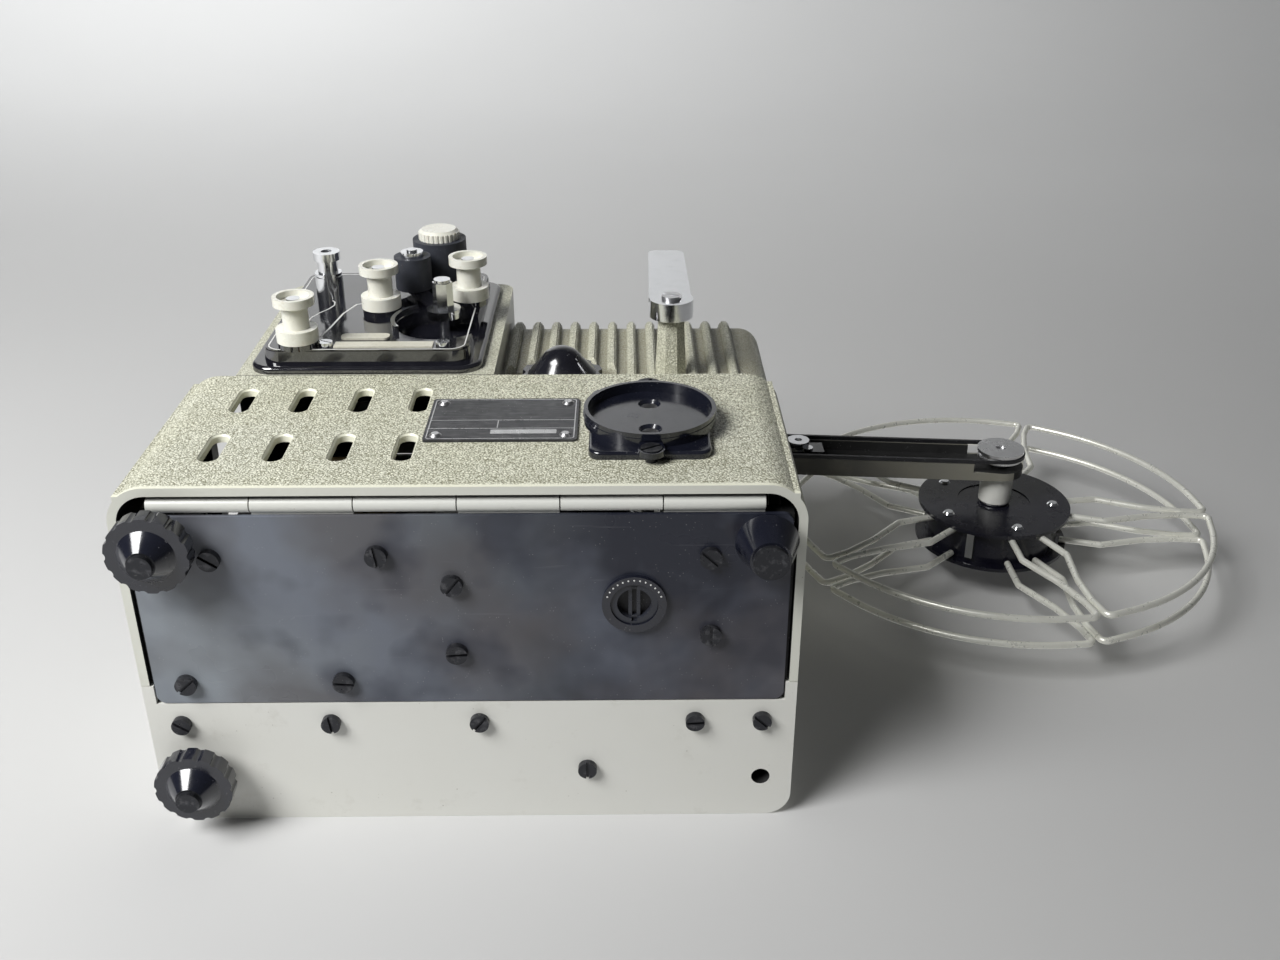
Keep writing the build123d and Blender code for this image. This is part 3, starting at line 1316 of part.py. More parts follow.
PIECES = {
    "main_casting": build_main_casting,
    "bottom_plate": build_bottom_plate,
    "underside_screws": lambda: group(
        build_screws(PLATE_SCREWS, 0.0, 6.0), build_screws(BASE_SCREWS, 0.0, 9.0, 3.0)),
    "hinge_leaf_fixed": lambda: group(build_hinge_leaf_fixed(), build_hinge_pin()),
    "hinge_leaf_cover": build_hinge_leaf_cover,
    "levelling_foot_cover_side": lambda: build_levelling_foot(*FOOT_A),
    "levelling_foot_film_side": lambda: build_levelling_foot(*FOOT_B),
    "fixed_foot": build_fixed_foot,
    "selector_bezel": build_selector_bezel,
    "selector_dial": build_selector_dial,
    "side_cover": build_side_cover,
    "nameplate": build_nameplate,
    "power_connector": lambda: group(
        build_connector_base(), build_connector_insert(), build_connector_contacts()),
    "connector_collar": build_connector_collar,
    "cover_fasteners": lambda: group(build_nameplate_rivets(), build_connector_screws()),
    "upper_housing": build_upper_housing,
    "mechanism_plate": mechanism_parts,
    "tape_panel_base": build_tape_panel_base,
    "tape_panel_face": build_tape_panel_face,
    "panel_brightwork": lambda: group(
        build_panel_trim(), build_panel_screws(), build_tape_guide_arc(), build_roller_spindles()),
    "tape_post": build_tape_post,
    "guide_roller_lower": lambda: build_guide_roller(*ROLLERS[0]),
    "guide_roller_middle": lambda: build_guide_roller(*ROLLERS[1]),
    "guide_roller_upper": lambda: build_guide_roller(*ROLLERS[2]),
    "pinch_lever": build_pinch_lever,
    "pinch_roller": build_pinch_roller,
    "capstan_roller": build_capstan_roller,
    "capstan_knob": build_capstan_knob,
    "inching_knob": build_inching_knob,
    "switch_lever": build_switch_lever,
    "lever_shaft": lever_parts,
    "motor": build_motor,
    "motor_rotor": build_motor_rotor,
    "drive_belt": build_drive_belt,
    "main_shaft": lambda: group(build_main_shaft(), build_flywheel()),
    "drum_shutter": build_drum_shutter,
    "sprocket_upper": lambda: build_sprocket(*SPROCKETS["sprocket_upper"]),
    "sprocket_lower": lambda: build_sprocket(*SPROCKETS["sprocket_lower"]),
    "claw": build_claw,
    "film_gate": build_film_gate,
    "pressure_plate": build_pressure_plate,
    "lens_carrier": build_lens_carrier,
    "lens_barrel": lens_barrel_parts,
    "lens_glass": build_lens_glass,
    "lamp_house": lambda: group(build_lamp_house(), build_lamp_house_screw()),
    "lamp_socket": build_lamp_socket,
    "projection_lamp": lambda: group(build_lamp_bulb(), build_lamp_base(), build_lamp_filament()),
    "reflector": build_reflector,
    "condenser": lambda: group(build_condenser_mount(), build_condenser_lens()),
    "film_roller": build_film_roller,
    "transformer": lambda: group(build_transformer_core(), build_transformer_coil()),
    "take_up_arm": build_take_up_arm,
    "arm_latch": build_arm_latch,
    "arm_pulley": build_arm_pulley,
    "arm_belt": build_arm_belt,
    "take_up_spindle": build_take_up_spindle,
    "reel_hub": lambda: group(build_reel_hub(), build_reel_rivets(), build_reel_clip()),
    "reel_flanges": lambda: group(*[build_reel_flange(y) for y in FLANGE_Y]),
    "supply_arm": build_supply_arm,
    "supply_spindle": build_supply_spindle,
}

for name, build in PIECES.items():
    save(build(), name)
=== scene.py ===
import math

import bmesh
import bpy
from mathutils import Matrix, Vector


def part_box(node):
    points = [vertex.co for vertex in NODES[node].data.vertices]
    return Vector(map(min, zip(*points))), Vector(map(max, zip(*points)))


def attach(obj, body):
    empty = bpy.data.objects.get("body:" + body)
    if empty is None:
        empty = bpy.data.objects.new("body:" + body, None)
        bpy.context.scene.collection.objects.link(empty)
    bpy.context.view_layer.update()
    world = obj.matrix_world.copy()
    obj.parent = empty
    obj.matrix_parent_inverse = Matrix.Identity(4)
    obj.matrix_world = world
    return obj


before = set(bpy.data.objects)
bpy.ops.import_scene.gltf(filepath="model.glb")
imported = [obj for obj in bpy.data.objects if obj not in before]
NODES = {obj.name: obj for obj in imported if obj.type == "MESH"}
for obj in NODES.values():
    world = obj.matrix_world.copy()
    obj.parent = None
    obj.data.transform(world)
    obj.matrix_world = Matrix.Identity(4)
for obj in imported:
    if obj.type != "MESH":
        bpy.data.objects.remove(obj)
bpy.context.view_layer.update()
MM = 0.001
# The plan below is drawn from the centre of the lower box; the frame's origin is the fixed foot's pad.
PAD = Vector((89.8, -44.5, -17.0))


# ------------------------------------------------------------------ materials
class Mat:
    """A procedural material in object coordinates, so it stays on its piece in every pose."""

    def __init__(self, name, color, rough=0.4, metal=0.0, coat=0.0, coat_rough=0.05, spec=0.5):
        self.m = bpy.data.materials.new(name)
        self.m.use_nodes = True
        self.nt = self.m.node_tree
        self.b = self.nt.nodes["Principled BSDF"]
        self.b.inputs["Base Color"].default_value = (*color, 1.0)
        self.b.inputs["Roughness"].default_value = rough
        self.b.inputs["Metallic"].default_value = metal
        self.b.inputs["Coat Weight"].default_value = coat
        self.b.inputs["Coat Roughness"].default_value = coat_rough
        self.b.inputs["Specular IOR Level"].default_value = spec
        self.co = self.new("ShaderNodeTexCoord").outputs["Object"]
        self.color = None
        self.normal = None

    def new(self, kind, **inputs):
        n = self.nt.nodes.new(kind)
        for k, v in inputs.items():
            self.put(n.inputs[k.replace("_", " ")], v)
        return n

    def put(self, socket, value):
        if isinstance(value, bpy.types.NodeSocket):
            self.nt.links.new(value, socket)
        else:
            socket.default_value = value

    def scaled(self, sx, sy, sz):
        n = self.new("ShaderNodeMapping", Vector=self.co)
        n.inputs["Scale"].default_value = (sx, sy, sz)
        return n.outputs["Vector"]

    def noise(self, scale, detail=3.0, rough=0.55, distortion=0.0, co=None):
        n = self.new("ShaderNodeTexNoise", Vector=co or self.co, Scale=scale, Detail=detail,
                     Roughness=rough, Distortion=distortion)
        return n.outputs["Fac"]

    def cells(self, scale, feature="F1", co=None, random=1.0):
        n = self.new("ShaderNodeTexVoronoi")
        n.feature = feature
        self.put(n.inputs["Vector"], co or self.co)
        n.inputs["Scale"].default_value = scale
        n.inputs["Randomness"].default_value = random
        return n.outputs["Distance"]

    def warped(self, scale, amount):
        """Object coordinates pushed about by noise."""
        n = self.new("ShaderNodeTexNoise", Vector=self.co, Scale=scale, Detail=2.0)
        sub = self.new("ShaderNodeVectorMath")
        sub.operation = "SUBTRACT"
        self.put(sub.inputs[0], n.outputs["Color"])
        sub.inputs[1].default_value = (0.5, 0.5, 0.5)
        mul = self.new("ShaderNodeVectorMath")
        mul.operation = "SCALE"
        self.put(mul.inputs[0], sub.outputs[0])
        mul.inputs["Scale"].default_value = amount
        add = self.new("ShaderNodeVectorMath")
        add.operation = "ADD"
        self.put(add.inputs[0], self.co)
        self.put(add.inputs[1], mul.outputs[0])
        return add.outputs[0]

    def span(self, value, a, b, lo=0.0, hi=1.0):
        n = self.new("ShaderNodeMapRange", Value=value)
        n.inputs["From Min"].default_value = a
        n.inputs["From Max"].default_value = b
        n.inputs["To Min"].default_value = lo
        n.inputs["To Max"].default_value = hi
        return n.outputs["Result"]

    def math(self, op, a, b=0.0):
        n = self.new("ShaderNodeMath")
        n.operation = op
        self.put(n.inputs[0], a)
        self.put(n.inputs[1], b)
        return n.outputs[0]

    def xyz(self):
        """Coordinates from the centre of the lower box, in metres."""
        add = self.new("ShaderNodeVectorMath")
        add.operation = "ADD"
        self.put(add.inputs[0], self.co)
        add.inputs[1].default_value = PAD * MM
        n = self.new("ShaderNodeSeparateXYZ", Vector=add.outputs[0])
        return n.outputs

    def mix(self, fac, a, b):
        n = self.new("ShaderNodeMix")
        n.data_type = "RGBA"
        self.put(n.inputs["Factor"], fac)
        for socket, v in ((n.inputs[6], a), (n.inputs[7], b)):
            self.put(socket, (*v, 1.0) if isinstance(v, tuple) else v)
        return n.outputs[2]

    def tint(self, fac, color):
        """Lays color over what the base colour is so far, where fac is 1."""
        base = self.color or tuple(self.b.inputs["Base Color"].default_value)[:3]
        self.color = self.mix(fac, base, color)
        self.put(self.b.inputs["Base Color"], self.color)
        return self

    def wash(self, fac, amount, color):
        """A tint thinned by amount."""
        return self.tint(self.math("MULTIPLY", fac, amount), color)

    def roughness(self, value):
        self.put(self.b.inputs["Roughness"], value)
        return self

    def bump(self, height, strength, distance):
        n = self.new("ShaderNodeBump", Height=height)
        n.inputs["Strength"].default_value = strength
        n.inputs["Distance"].default_value = distance
        if self.normal:
            self.put(n.inputs["Normal"], self.normal)
        self.normal = n.outputs["Normal"]
        self.put(self.b.inputs["Normal"], self.normal)
        return self

    def specks(self, scale, size, color, amount=0.6):
        """Sparse dust or chips."""
        d = self.cells(scale)
        here = self.span(d, size, size * 0.6)
        some = self.span(self.noise(scale * 0.23, 1.0), 0.56, 0.62)
        return self.wash(self.math("MULTIPLY", here, some), amount, color)


# depths on the ribbed front of the upper housing, in metres, that bound the painted groove shade: down from
# the ribs, and past the rounded edge
RIB_MIDDLE_Y, RIB_ROOT_Y = -0.0516, -0.0494
FRONT_EDGE_Y, SIDE_Y = -0.0486, -0.0468


def hammer_paint(name, light, dark, smooth_test=None, scale=1050.0, painted_groove_shade=False):
    """Cream crackle enamel: pale islands with darker creases; with painted_groove_shade set, shade is painted
    into the grooves between the ribs.
    """
    a = Mat(name, light, 0.42, coat=0.2, coat_rough=0.25)
    co = a.warped(700.0, 0.0011)
    edge = a.cells(scale, "DISTANCE_TO_EDGE", co, 1.0)
    crease = a.span(edge, 0.02, 0.24, 1.0, 0.0)
    wobble = a.noise(1300.0, 2.0, 0.5)
    crease = a.math("MULTIPLY", crease, a.span(wobble, 0.34, 0.52))
    height = a.math("ADD", a.span(edge, 0.0, 0.40), a.math("MULTIPLY", wobble, 0.35))
    if smooth_test:
        mask = smooth_test(a)
        crease = a.math("MULTIPLY", crease, mask)
        height = a.math("MULTIPLY", height, mask)
    patch = a.span(a.noise(26.0, 3.0), 0.3, 0.7)
    warm = tuple(c * k for c, k in zip(light, (1.0, 0.99, 0.92)))
    a.wash(patch, 0.7, warm)
    a.wash(crease, 0.6 if painted_groove_shade else 0.95, dark)
    grime = a.span(a.noise(60.0, 4.0, 0.6), 0.56, 0.74)
    a.wash(grime, 0.12, (0.24, 0.22, 0.14))
    # painted shade: the grooves between the ribs on the housing's front are darkened where shade falls
    if painted_groove_shade:
        y = a.xyz()[1]
        below_ribs = a.span(y, RIB_MIDDLE_Y, RIB_ROOT_Y)
        off_sides = a.span(y, SIDE_Y, FRONT_EDGE_Y)
        a.wash(a.math("MULTIPLY", below_ribs, off_sides), 0.65, (0.21, 0.195, 0.13))
    a.roughness(a.math("ADD", a.math("MULTIPLY", crease, 0.25),
                       a.span(a.noise(90.0, 3.0), 0.3, 0.7, 0.34, 0.5)))
    a.bump(height, 0.85, 0.00025)
    return a.m


def smooth_paint(name, color, rough=0.38, coat=0.2):
    """Smooth stoved enamel with fine orange peel, faint stains and a few chips."""
    a = Mat(name, color, rough, coat=coat, coat_rough=0.2)
    stained = tuple(c * k for c, k in zip(color, (0.93, 0.92, 0.88)))
    a.wash(a.span(a.noise(18.0, 4.0), 0.35, 0.75), 0.35, stained)
    a.wash(a.span(a.noise(75.0, 5.0, 0.65), 0.6, 0.75), 0.18, (0.30, 0.27, 0.20))
    a.specks(330.0, 0.10, (0.20, 0.18, 0.14), 0.45)
    a.roughness(a.span(a.noise(55.0, 4.0), 0.3, 0.7, rough - 0.07, rough + 0.1))
    a.bump(a.noise(520.0, 2.0), 0.12, 0.0002)
    return a.m


def plate_lacquer():
    """Blue-black lacquered sheet, clouded and dusty, with a painted reflection that lightens it towards the
    left.
    """
    a = Mat("plate_lacquer", (0.017, 0.019, 0.030), 0.3, coat=0.15, coat_rough=0.3, spec=0.4)
    co = a.warped(14.0, 0.02)
    cloud = a.noise(17.0, 4.0, 0.55, 0.0, co)
    x = a.xyz()[0]
    # painted reflection: the sheet is washed lighter towards the left, standing in for the sheen of the
    # bright side it faces
    left = a.span(x, 0.045, -0.075)
    a.wash(left, 0.85, (0.265, 0.292, 0.320))
    a.wash(a.span(cloud, 0.44, 0.60), 0.60, (0.130, 0.144, 0.182))
    a.wash(a.span(a.noise(22.0, 3.0, 0.5), 0.46, 0.64), 0.6, (0.075, 0.066, 0.066))
    a.wash(a.span(a.noise(34.0, 3.0, 0.5), 0.52, 0.68), 0.6, (0.012, 0.014, 0.026))
    a.specks(900.0, 0.14, (0.45, 0.45, 0.44), 0.4)
    scratch = a.span(a.noise(60.0, 3.0, 0.6, 0.3, a.scaled(0.5, 9.0, 1.0)), 0.66, 0.72)
    a.wash(scratch, 0.08, (0.3, 0.3, 0.32))
    a.roughness(a.math("ADD", a.span(cloud, 0.35, 0.7, 0.26, 0.46), a.math("MULTIPLY", scratch, 0.1)))
    a.bump(a.noise(260.0, 3.0), 0.06, 0.0003)
    return a.m


def moulded(name, color, rough=0.28, dust=0.35, coat=0.3):
    """Phenolic or other hard moulded plastic, handled and a little dusty."""
    a = Mat(name, color, rough, coat=coat, coat_rough=0.12)
    lifted = tuple(min(1.0, c * 1.5 + 0.006) for c in color)
    a.wash(a.span(a.noise(110.0, 4.0), 0.4, 0.75), 0.5, lifted)
    a.specks(800.0, 0.18, (0.5, 0.5, 0.5), dust)
    a.roughness(a.span(a.noise(150.0, 4.0, 0.6), 0.3, 0.75, rough - 0.08, rough + 0.16))
    a.bump(a.noise(900.0, 2.0), 0.06, 0.0002)
    return a.m


def cream_moulded():
    a = Mat("cream_moulding", (0.760, 0.755, 0.680), 0.3, coat=0.35, coat_rough=0.12)
    a.b.inputs["Subsurface Weight"].default_value = 0.06
    a.b.inputs["Subsurface Radius"].default_value = (0.002, 0.0015, 0.001)
    a.wash(a.span(a.noise(140.0, 4.0), 0.4, 0.75), 0.4, (0.69, 0.67, 0.55))
    a.wash(a.span(a.noise(330.0, 4.0, 0.65), 0.6, 0.75), 0.3, (0.42, 0.33, 0.2))
    a.roughness(a.span(a.noise(220.0, 3.0), 0.3, 0.7, 0.22, 0.4))
    a.bump(a.noise(700.0, 2.0), 0.05, 0.0002)
    return a.m


def metal(name, color, rough, worn=(0.2, 0.19, 0.18), amount=0.25, brushed=None, grain=0.1):
    """Plated or machined metal with light tarnish; brushed gives the stretch of the grain."""
    a = Mat(name, color, rough, 1.0)
    a.wash(a.span(a.noise(230.0, 5.0, 0.65), 0.5, 0.78), amount, worn)
    if brushed:
        lines = a.noise(900.0, 3.0, 0.6, 0.0, a.scaled(*brushed))
    else:
        lines = a.noise(1300.0, 3.0)
    worn_rough = a.span(a.noise(170.0, 3.0), 0.3, 0.7, rough - 0.06, rough + 0.05)
    a.roughness(a.math("ADD", a.math("MULTIPLY", lines, 0.14), worn_rough))
    a.bump(lines, grain, 0.00005)
    return a.m


def blackened():
    """Black-oxide screws, rubbed bright here and there."""
    a = Mat("black_oxide", (0.034, 0.035, 0.040), 0.3, 0.6)
    a.wash(a.span(a.noise(420.0, 4.0, 0.6), 0.52, 0.68), 0.5, (0.15, 0.15, 0.16))
    a.wash(a.span(a.noise(600.0, 5.0, 0.7), 0.64, 0.72), 0.5, (0.30, 0.29, 0.28))
    a.roughness(a.span(a.noise(500.0, 3.0), 0.3, 0.7, 0.25, 0.5))
    a.bump(a.noise(1500.0, 3.0), 0.2, 0.0001)
    return a.m


def rubber(name, color, rough=0.6):
    a = Mat(name, color, rough, spec=0.4)
    a.wash(a.span(a.noise(120.0, 5.0, 0.6), 0.4, 0.75), 0.5, tuple(min(1.0, c * 1.7 + 0.01) for c in color))
    a.specks(1000.0, 0.18, (0.35, 0.35, 0.36), 0.35)
    a.roughness(a.span(a.noise(260.0, 4.0), 0.3, 0.7, rough - 0.1, rough + 0.12))
    a.bump(a.noise(1600.0, 3.0), 0.18, 0.00012)
    return a.m


def panel_gloss():
    """Deep black stove enamel, polished, with fine dust and hairlines."""
    a = Mat("panel_gloss", (0.008, 0.008, 0.012), 0.09)
    a.b.inputs["IOR"].default_value = 2.3
    a.specks(900.0, 0.13, (0.35, 0.35, 0.36), 0.4)
    smear = a.noise(70.0, 5.0, 0.65, 1.0)
    a.wash(a.span(smear, 0.5, 0.75), 0.25, (0.03, 0.032, 0.04))
    a.roughness(a.span(smear, 0.35, 0.75, 0.05, 0.16))
    a.bump(a.noise(240.0, 2.0), 0.02, 0.0002)
    return a.m


def anodised():
    """Black nameplate sheet, lightly scratched."""
    a = Mat("nameplate_black", (0.040, 0.041, 0.046), 0.36, 0.55, coat=0.2, coat_rough=0.2)
    rubbed = a.noise(420.0, 4.0, 0.6, 0.0, a.scaled(0.4, 1.0, 2.4))
    a.wash(a.span(rubbed, 0.5, 0.7), 0.55, (0.14, 0.14, 0.145))
    a.specks(900.0, 0.16, (0.5, 0.5, 0.5), 0.5)
    a.roughness(a.span(a.noise(300.0, 4.0), 0.3, 0.7, 0.28, 0.48))
    a.bump(a.noise(1100.0, 3.0), 0.1, 0.0001)
    return a.m


def arm_enamel():
    """Olive-beige enamel on the arms, rubbed and clouded, with painted shade: dark near the box and washed
    lighter along x towards the reel.
    """
    # painted shade and light: the dark base colour stands for the box's shadow, and the wash along x lightens
    # the arm towards the reel's end
    a = Mat("arm_enamel", (0.062, 0.060, 0.052), 0.36, coat=0.15, coat_rough=0.2)
    x = a.xyz()[0]
    a.wash(a.span(x, 0.145, 0.215), 0.6, (0.36, 0.35, 0.29))
    a.wash(a.span(a.noise(60.0, 4.0, 0.6), 0.42, 0.7), 0.4, (0.17, 0.16, 0.12))
    a.specks(500.0, 0.14, (0.10, 0.09, 0.07), 0.5)
    a.roughness(a.span(a.noise(130.0, 4.0), 0.3, 0.7, 0.28, 0.5))
    a.bump(a.noise(800.0, 2.0), 0.12, 0.00015)
    return a.m


def wire_plating():
    """Dull pale plating on the reel wire, slightly mottled."""
    a = Mat("wire_plating", (0.80, 0.80, 0.73), 0.28, 0.4, coat=0.1)
    a.wash(a.span(a.noise(120.0, 5.0, 0.65), 0.50, 0.78), 0.3, (0.52, 0.50, 0.40))
    a.wash(a.span(a.noise(90.0, 3.0), 0.5, 0.7), 0.4, (0.80, 0.79, 0.74))
    a.roughness(a.span(a.noise(400.0, 3.0), 0.3, 0.7, 0.24, 0.42))
    a.bump(a.noise(900.0, 3.0), 0.1, 0.0001)
    return a.m


def glass(name, color, rough=0.02, weight=1.0):
    a = Mat(name, color, rough, spec=0.6)
    a.b.inputs["Transmission Weight"].default_value = weight
    a.b.inputs["IOR"].default_value = 1.5
    a.roughness(a.span(a.noise(120.0, 4.0), 0.5, 0.8, rough, rough + 0.05))
    return a.m


def laminated():
    """Stacked transformer sheets, varnished."""
    a = Mat("core_sheets", (0.10, 0.092, 0.085), 0.42, 0.75)
    w = a.new("ShaderNodeTexWave", Vector=a.co, Scale=420.0, Distortion=0.2)
    w.bands_direction = "Y"
    a.wash(w.outputs["Fac"], 0.55, (0.24, 0.22, 0.20))
    a.wash(a.span(a.noise(90.0, 4.0), 0.5, 0.7), 0.5, (0.16, 0.09, 0.045))
    a.roughness(a.span(a.noise(200.0, 3.0), 0.3, 0.7, 0.3, 0.55))
    a.bump(w.outputs["Fac"], 0.35, 0.0002)
    return a.m


def wound():
    """Taped coil."""
    a = Mat("coil_tape", (0.46, 0.33, 0.16), 0.6)
    w = a.new("ShaderNodeTexWave", Vector=a.co, Scale=95.0, Distortion=1.0)
    w.bands_direction = "Z"
    a.wash(w.outputs["Fac"], 0.4, (0.30, 0.20, 0.09))
    a.wash(a.span(a.noise(220.0, 4.0), 0.5, 0.7), 0.4, (0.16, 0.10, 0.05))
    a.roughness(a.span(a.noise(200.0, 3.0), 0.3, 0.7, 0.5, 0.75))
    a.bump(w.outputs["Fac"], 0.5, 0.0003)
    return a.m


def printed(name, color):
    """White or pale lining paint."""
    a = Mat(name, color, 0.4, coat=0.2)
    a.wash(a.span(a.noise(900.0, 4.0, 0.65), 0.5, 0.7), 0.4, tuple(c * 0.6 for c in color))
    a.roughness(a.span(a.noise(500.0, 3.0), 0.3, 0.7, 0.32, 0.5))
    return a.m


CREAM = (0.800, 0.800, 0.670)
CREASE = (0.160, 0.155, 0.085)
PALE = (0.690, 0.690, 0.650)


def cover_mask(a):
    """1 on the outer crackle faces of the cover, 0 on its lower edge, slots and inside."""
    x, y, z = a.xyz()
    front = a.span(y, -0.06085, -0.06092)
    end = a.span(a.math("ABSOLUTE", x), 0.0890, 0.0900)
    above_edge = a.span(z, 0.0010, 0.0022)
    return a.math("MULTIPLY", a.math("MAXIMUM", front, end), above_edge)


hammered_cover = hammer_paint("crackle_enamel_cover", CREAM, CREASE, cover_mask)
hammered = hammer_paint("crackle_enamel", tuple(c * 0.86 for c in CREAM), CREASE, painted_groove_shade=True)
enamel = smooth_paint("smooth_enamel", PALE)
edge_enamel = smooth_paint("edge_enamel", (0.660, 0.665, 0.600))
hinge_enamel = smooth_paint("hinge_enamel", (0.660, 0.665, 0.625), 0.32)
grey_enamel = smooth_paint("grey_enamel", (0.30, 0.31, 0.31), 0.42)
lacquer = plate_lacquer()
# painted shade: near-black laid on the inner faces of the cover, housing, casting and the arms' channels,
# which lie in shade
inside_painted_shade = moulded("inside_painted_shade", (0.012, 0.012, 0.012), 0.6, 0.2, 0.0)
bakelite = moulded("black_bakelite", (0.007, 0.008, 0.015), 0.17, 0.2, 0.8)
knob_black = moulded("knob_gloss", (0.008, 0.008, 0.012), 0.16, 0.2, 0.6)
grey_mould = moulded("grey_moulding", (0.022, 0.024, 0.032), 0.34, 0.3, 0.2)
cream_mould = cream_moulded()
chrome = metal("chrome_plate", (0.80, 0.81, 0.83), 0.09, (0.35, 0.34, 0.33), 0.2, None, 0.04)
steel = metal("ground_steel", (0.52, 0.52, 0.53), 0.3, (0.22, 0.20, 0.18), 0.35, (1.0, 1.0, 6.0), 0.15)
brass = metal("brass", (0.62, 0.46, 0.20), 0.3, (0.25, 0.16, 0.07), 0.4)
alloy = metal("turned_alloy", (0.70, 0.70, 0.71), 0.24, (0.36, 0.35, 0.34), 0.25)
dark_metal = metal("dark_satin", (0.055, 0.055, 0.058), 0.4, (0.12, 0.12, 0.12), 0.5)
mirror = metal("mirror_alloy", (0.88, 0.88, 0.89), 0.06, (0.5, 0.5, 0.5), 0.12)
oxide = blackened()
roller_rubber = rubber("roller_rubber", (0.030, 0.033, 0.043), 0.5)
black_rubber = rubber("belt_rubber", (0.012, 0.012, 0.014), 0.42)
gloss = panel_gloss()
plate_black = anodised()
olive = arm_enamel()
wire = wire_plating()
reel_black = moulded("reel_gloss", (0.005, 0.005, 0.010), 0.2, 0.15, 0.0)
lens_clear = glass("coated_glass", (0.80, 0.86, 0.95), 0.02)
bulb_clear = glass("bulb_glass", (0.93, 0.94, 0.95), 0.02)
sheets = laminated()
coil = wound()
white_ink = printed("white_lining", (0.72, 0.72, 0.70))
strip_cream = printed("cream_strip", (0.62, 0.60, 0.50))
tungsten = metal("tungsten", (0.30, 0.30, 0.31), 0.4)


def paint(node, base, *rules):
    """Gives a CAD node its material; each rule is (material, test of a face's centre in mm)."""
    me = NODES[node].data
    me.materials.clear()
    for m in (base, *[r[0] for r in rules]):
        me.materials.append(m)
    for p in me.polygons:
        c = p.center / MM + PAD
        p.material_index = 0
        for k, (_, test) in enumerate(rules, 1):
            if test(c):
                p.material_index = k
                break


# Places on the object, in mm from the centre of the lower box, as (x, z) unless the name says otherwise
REEL = (205.4, 157.0)
TAKE_UP_PIVOT = (86.0, 167.3)
SUPPLY_SPINDLE = (-70.0, 285.8)
HEX_POST = (-17.5, 122.0)
MOTOR = (26.2, 100.0)
LAMP_SCREW = (86.0, 112.0)
CONTACTS = ((56.4, 31.2), (56.4, 50.2))
LAMP_X, LENS_Y, LENS_Z = 48.0, 36.75, 130.0
COVER_ROUND_X, COVER_ROUND_Y = 90.0, -49.0
WALL_INSIDE_X = 99.05
RIVET_CIRCLE, CLIP_CIRCLE, CLIP_ANGLE = 24.3, 28.4, -122
RIVET_ANGLES = [63.0 + 72 * k for k in range(5)]


def near(c, place, r):
    """Within r of an (x, z) place, seen along Y."""
    return math.hypot(c.x - place[0], c.z - place[1]) < r


def around(centre, radius, degrees):
    """The (x, z) place at an angle on a circle."""
    a = math.radians(degrees)
    return (centre[0] + radius * math.cos(a), centre[1] + radius * math.sin(a))


def cover_inside(c):
    """Inner faces of the cover, without its rounded outer corners."""
    at_corner = abs(c.x) > COVER_ROUND_X and c.y < COVER_ROUND_Y
    outer_round = at_corner and math.hypot(abs(c.x) - COVER_ROUND_X, c.y - COVER_ROUND_Y) > 9.6
    return c.y > -58.4 and abs(c.x) < 99.4 and 0.5 < c.z < 81.0 and not outer_round


def housing_inside(c):
    under = c.z < 84.3
    hollow = c.y > -57.95 and -82.1 < c.x < 98.9 and c.z < 174.3
    ribbed_front = c.y < -46.0 and c.x > 0.4
    return under or (hollow and not ribbed_front)


def casting_inside(c):
    return abs(c.x) < WALL_INSIDE_X and c.y < 58.05 and 1.45 < c.z < 83.0


def trim_face(c):
    """Fronts and sides of the panel's blank strip and badge."""
    return -52.1 < c.x < -17.8 and -69.1 < c.y < -68.39 and 90 < c.z < 103


def lamp_radius(c):
    """Distance from the lamp's upright axis."""
    return math.hypot(c.x - LAMP_X, c.y - LENS_Y)


def lamp_cap(c):
    shell = c.z < 118.9 and lamp_radius(c) > 8.5
    base = abs(c.z - 109.2) < 0.1 and lamp_radius(c) < 9.1
    return shell or base


def stator_band(c):
    return -24.1 < c.y < -5.9 and near(c, MOTOR, 27.2) and not near(c, MOTOR, 24.5)


def winding(c):
    ends = c.y < -36.05 or c.y > 4.05
    sides = -65.8 < c.x < -54.0 or -36.0 < c.x < -24.2
    return 17.2 < c.z < 48.8 and (ends or sides)


def hub_rivet(c):
    """Rivet heads on both discs of the reel's hub."""
    outer_face = c.y < 28.25 or c.y > 45.25
    return outer_face and any(near(c, around(REEL, RIVET_CIRCLE, a), 2.45) for a in RIVET_ANGLES)


def hub_clip(c):
    """Bright film clip on the hub's core."""
    on_clip = near(c, around(REEL, CLIP_CIRCLE, CLIP_ANGLE), 2.2)
    return on_clip and 31.2 < c.y < 42.3 and not near(c, REEL, 27.25)


paint("side_cover", hammered_cover, (edge_enamel, lambda c: c.z < 1.6), (inside_painted_shade, cover_inside))
paint("upper_housing", hammered, (inside_painted_shade, housing_inside),
      (enamel, lambda c: c.x < 3.6 and c.y > -60.8), (grey_enamel, lambda c: c.y > 14.2))
paint("main_casting", enamel, (inside_painted_shade, casting_inside))
for n in ("levelling_foot_cover_side", "levelling_foot_film_side"):
    paint(n, bakelite, (oxide, lambda c: c.z < -15.35 or c.z > -4.75))
paint("fixed_foot", bakelite, (oxide, lambda c: c.z < -15.02 or c.z > 0.05))
paint("selector_dial", grey_mould, (black_rubber, lambda c: c.z > 1.0))
paint("power_connector", bakelite,
      (steel, lambda c: c.y > -61.6 and any(near(c, place, 2.56) for place in CONTACTS)))
paint("cover_fasteners", alloy, (oxide, lambda c: c.x > 45))
paint("panel_brightwork", chrome, (strip_cream, trim_face), (roller_rubber, lambda c: c.y > -63.5))
paint("pinch_lever", chrome, (knob_black, lambda c: -71.3 < c.y < -69.7 and not near(c, HEX_POST, 6.3)))
paint("capstan_roller", roller_rubber, (chrome, lambda c: c.y > -69.3))
paint("motor", dark_metal, (alloy, stator_band))
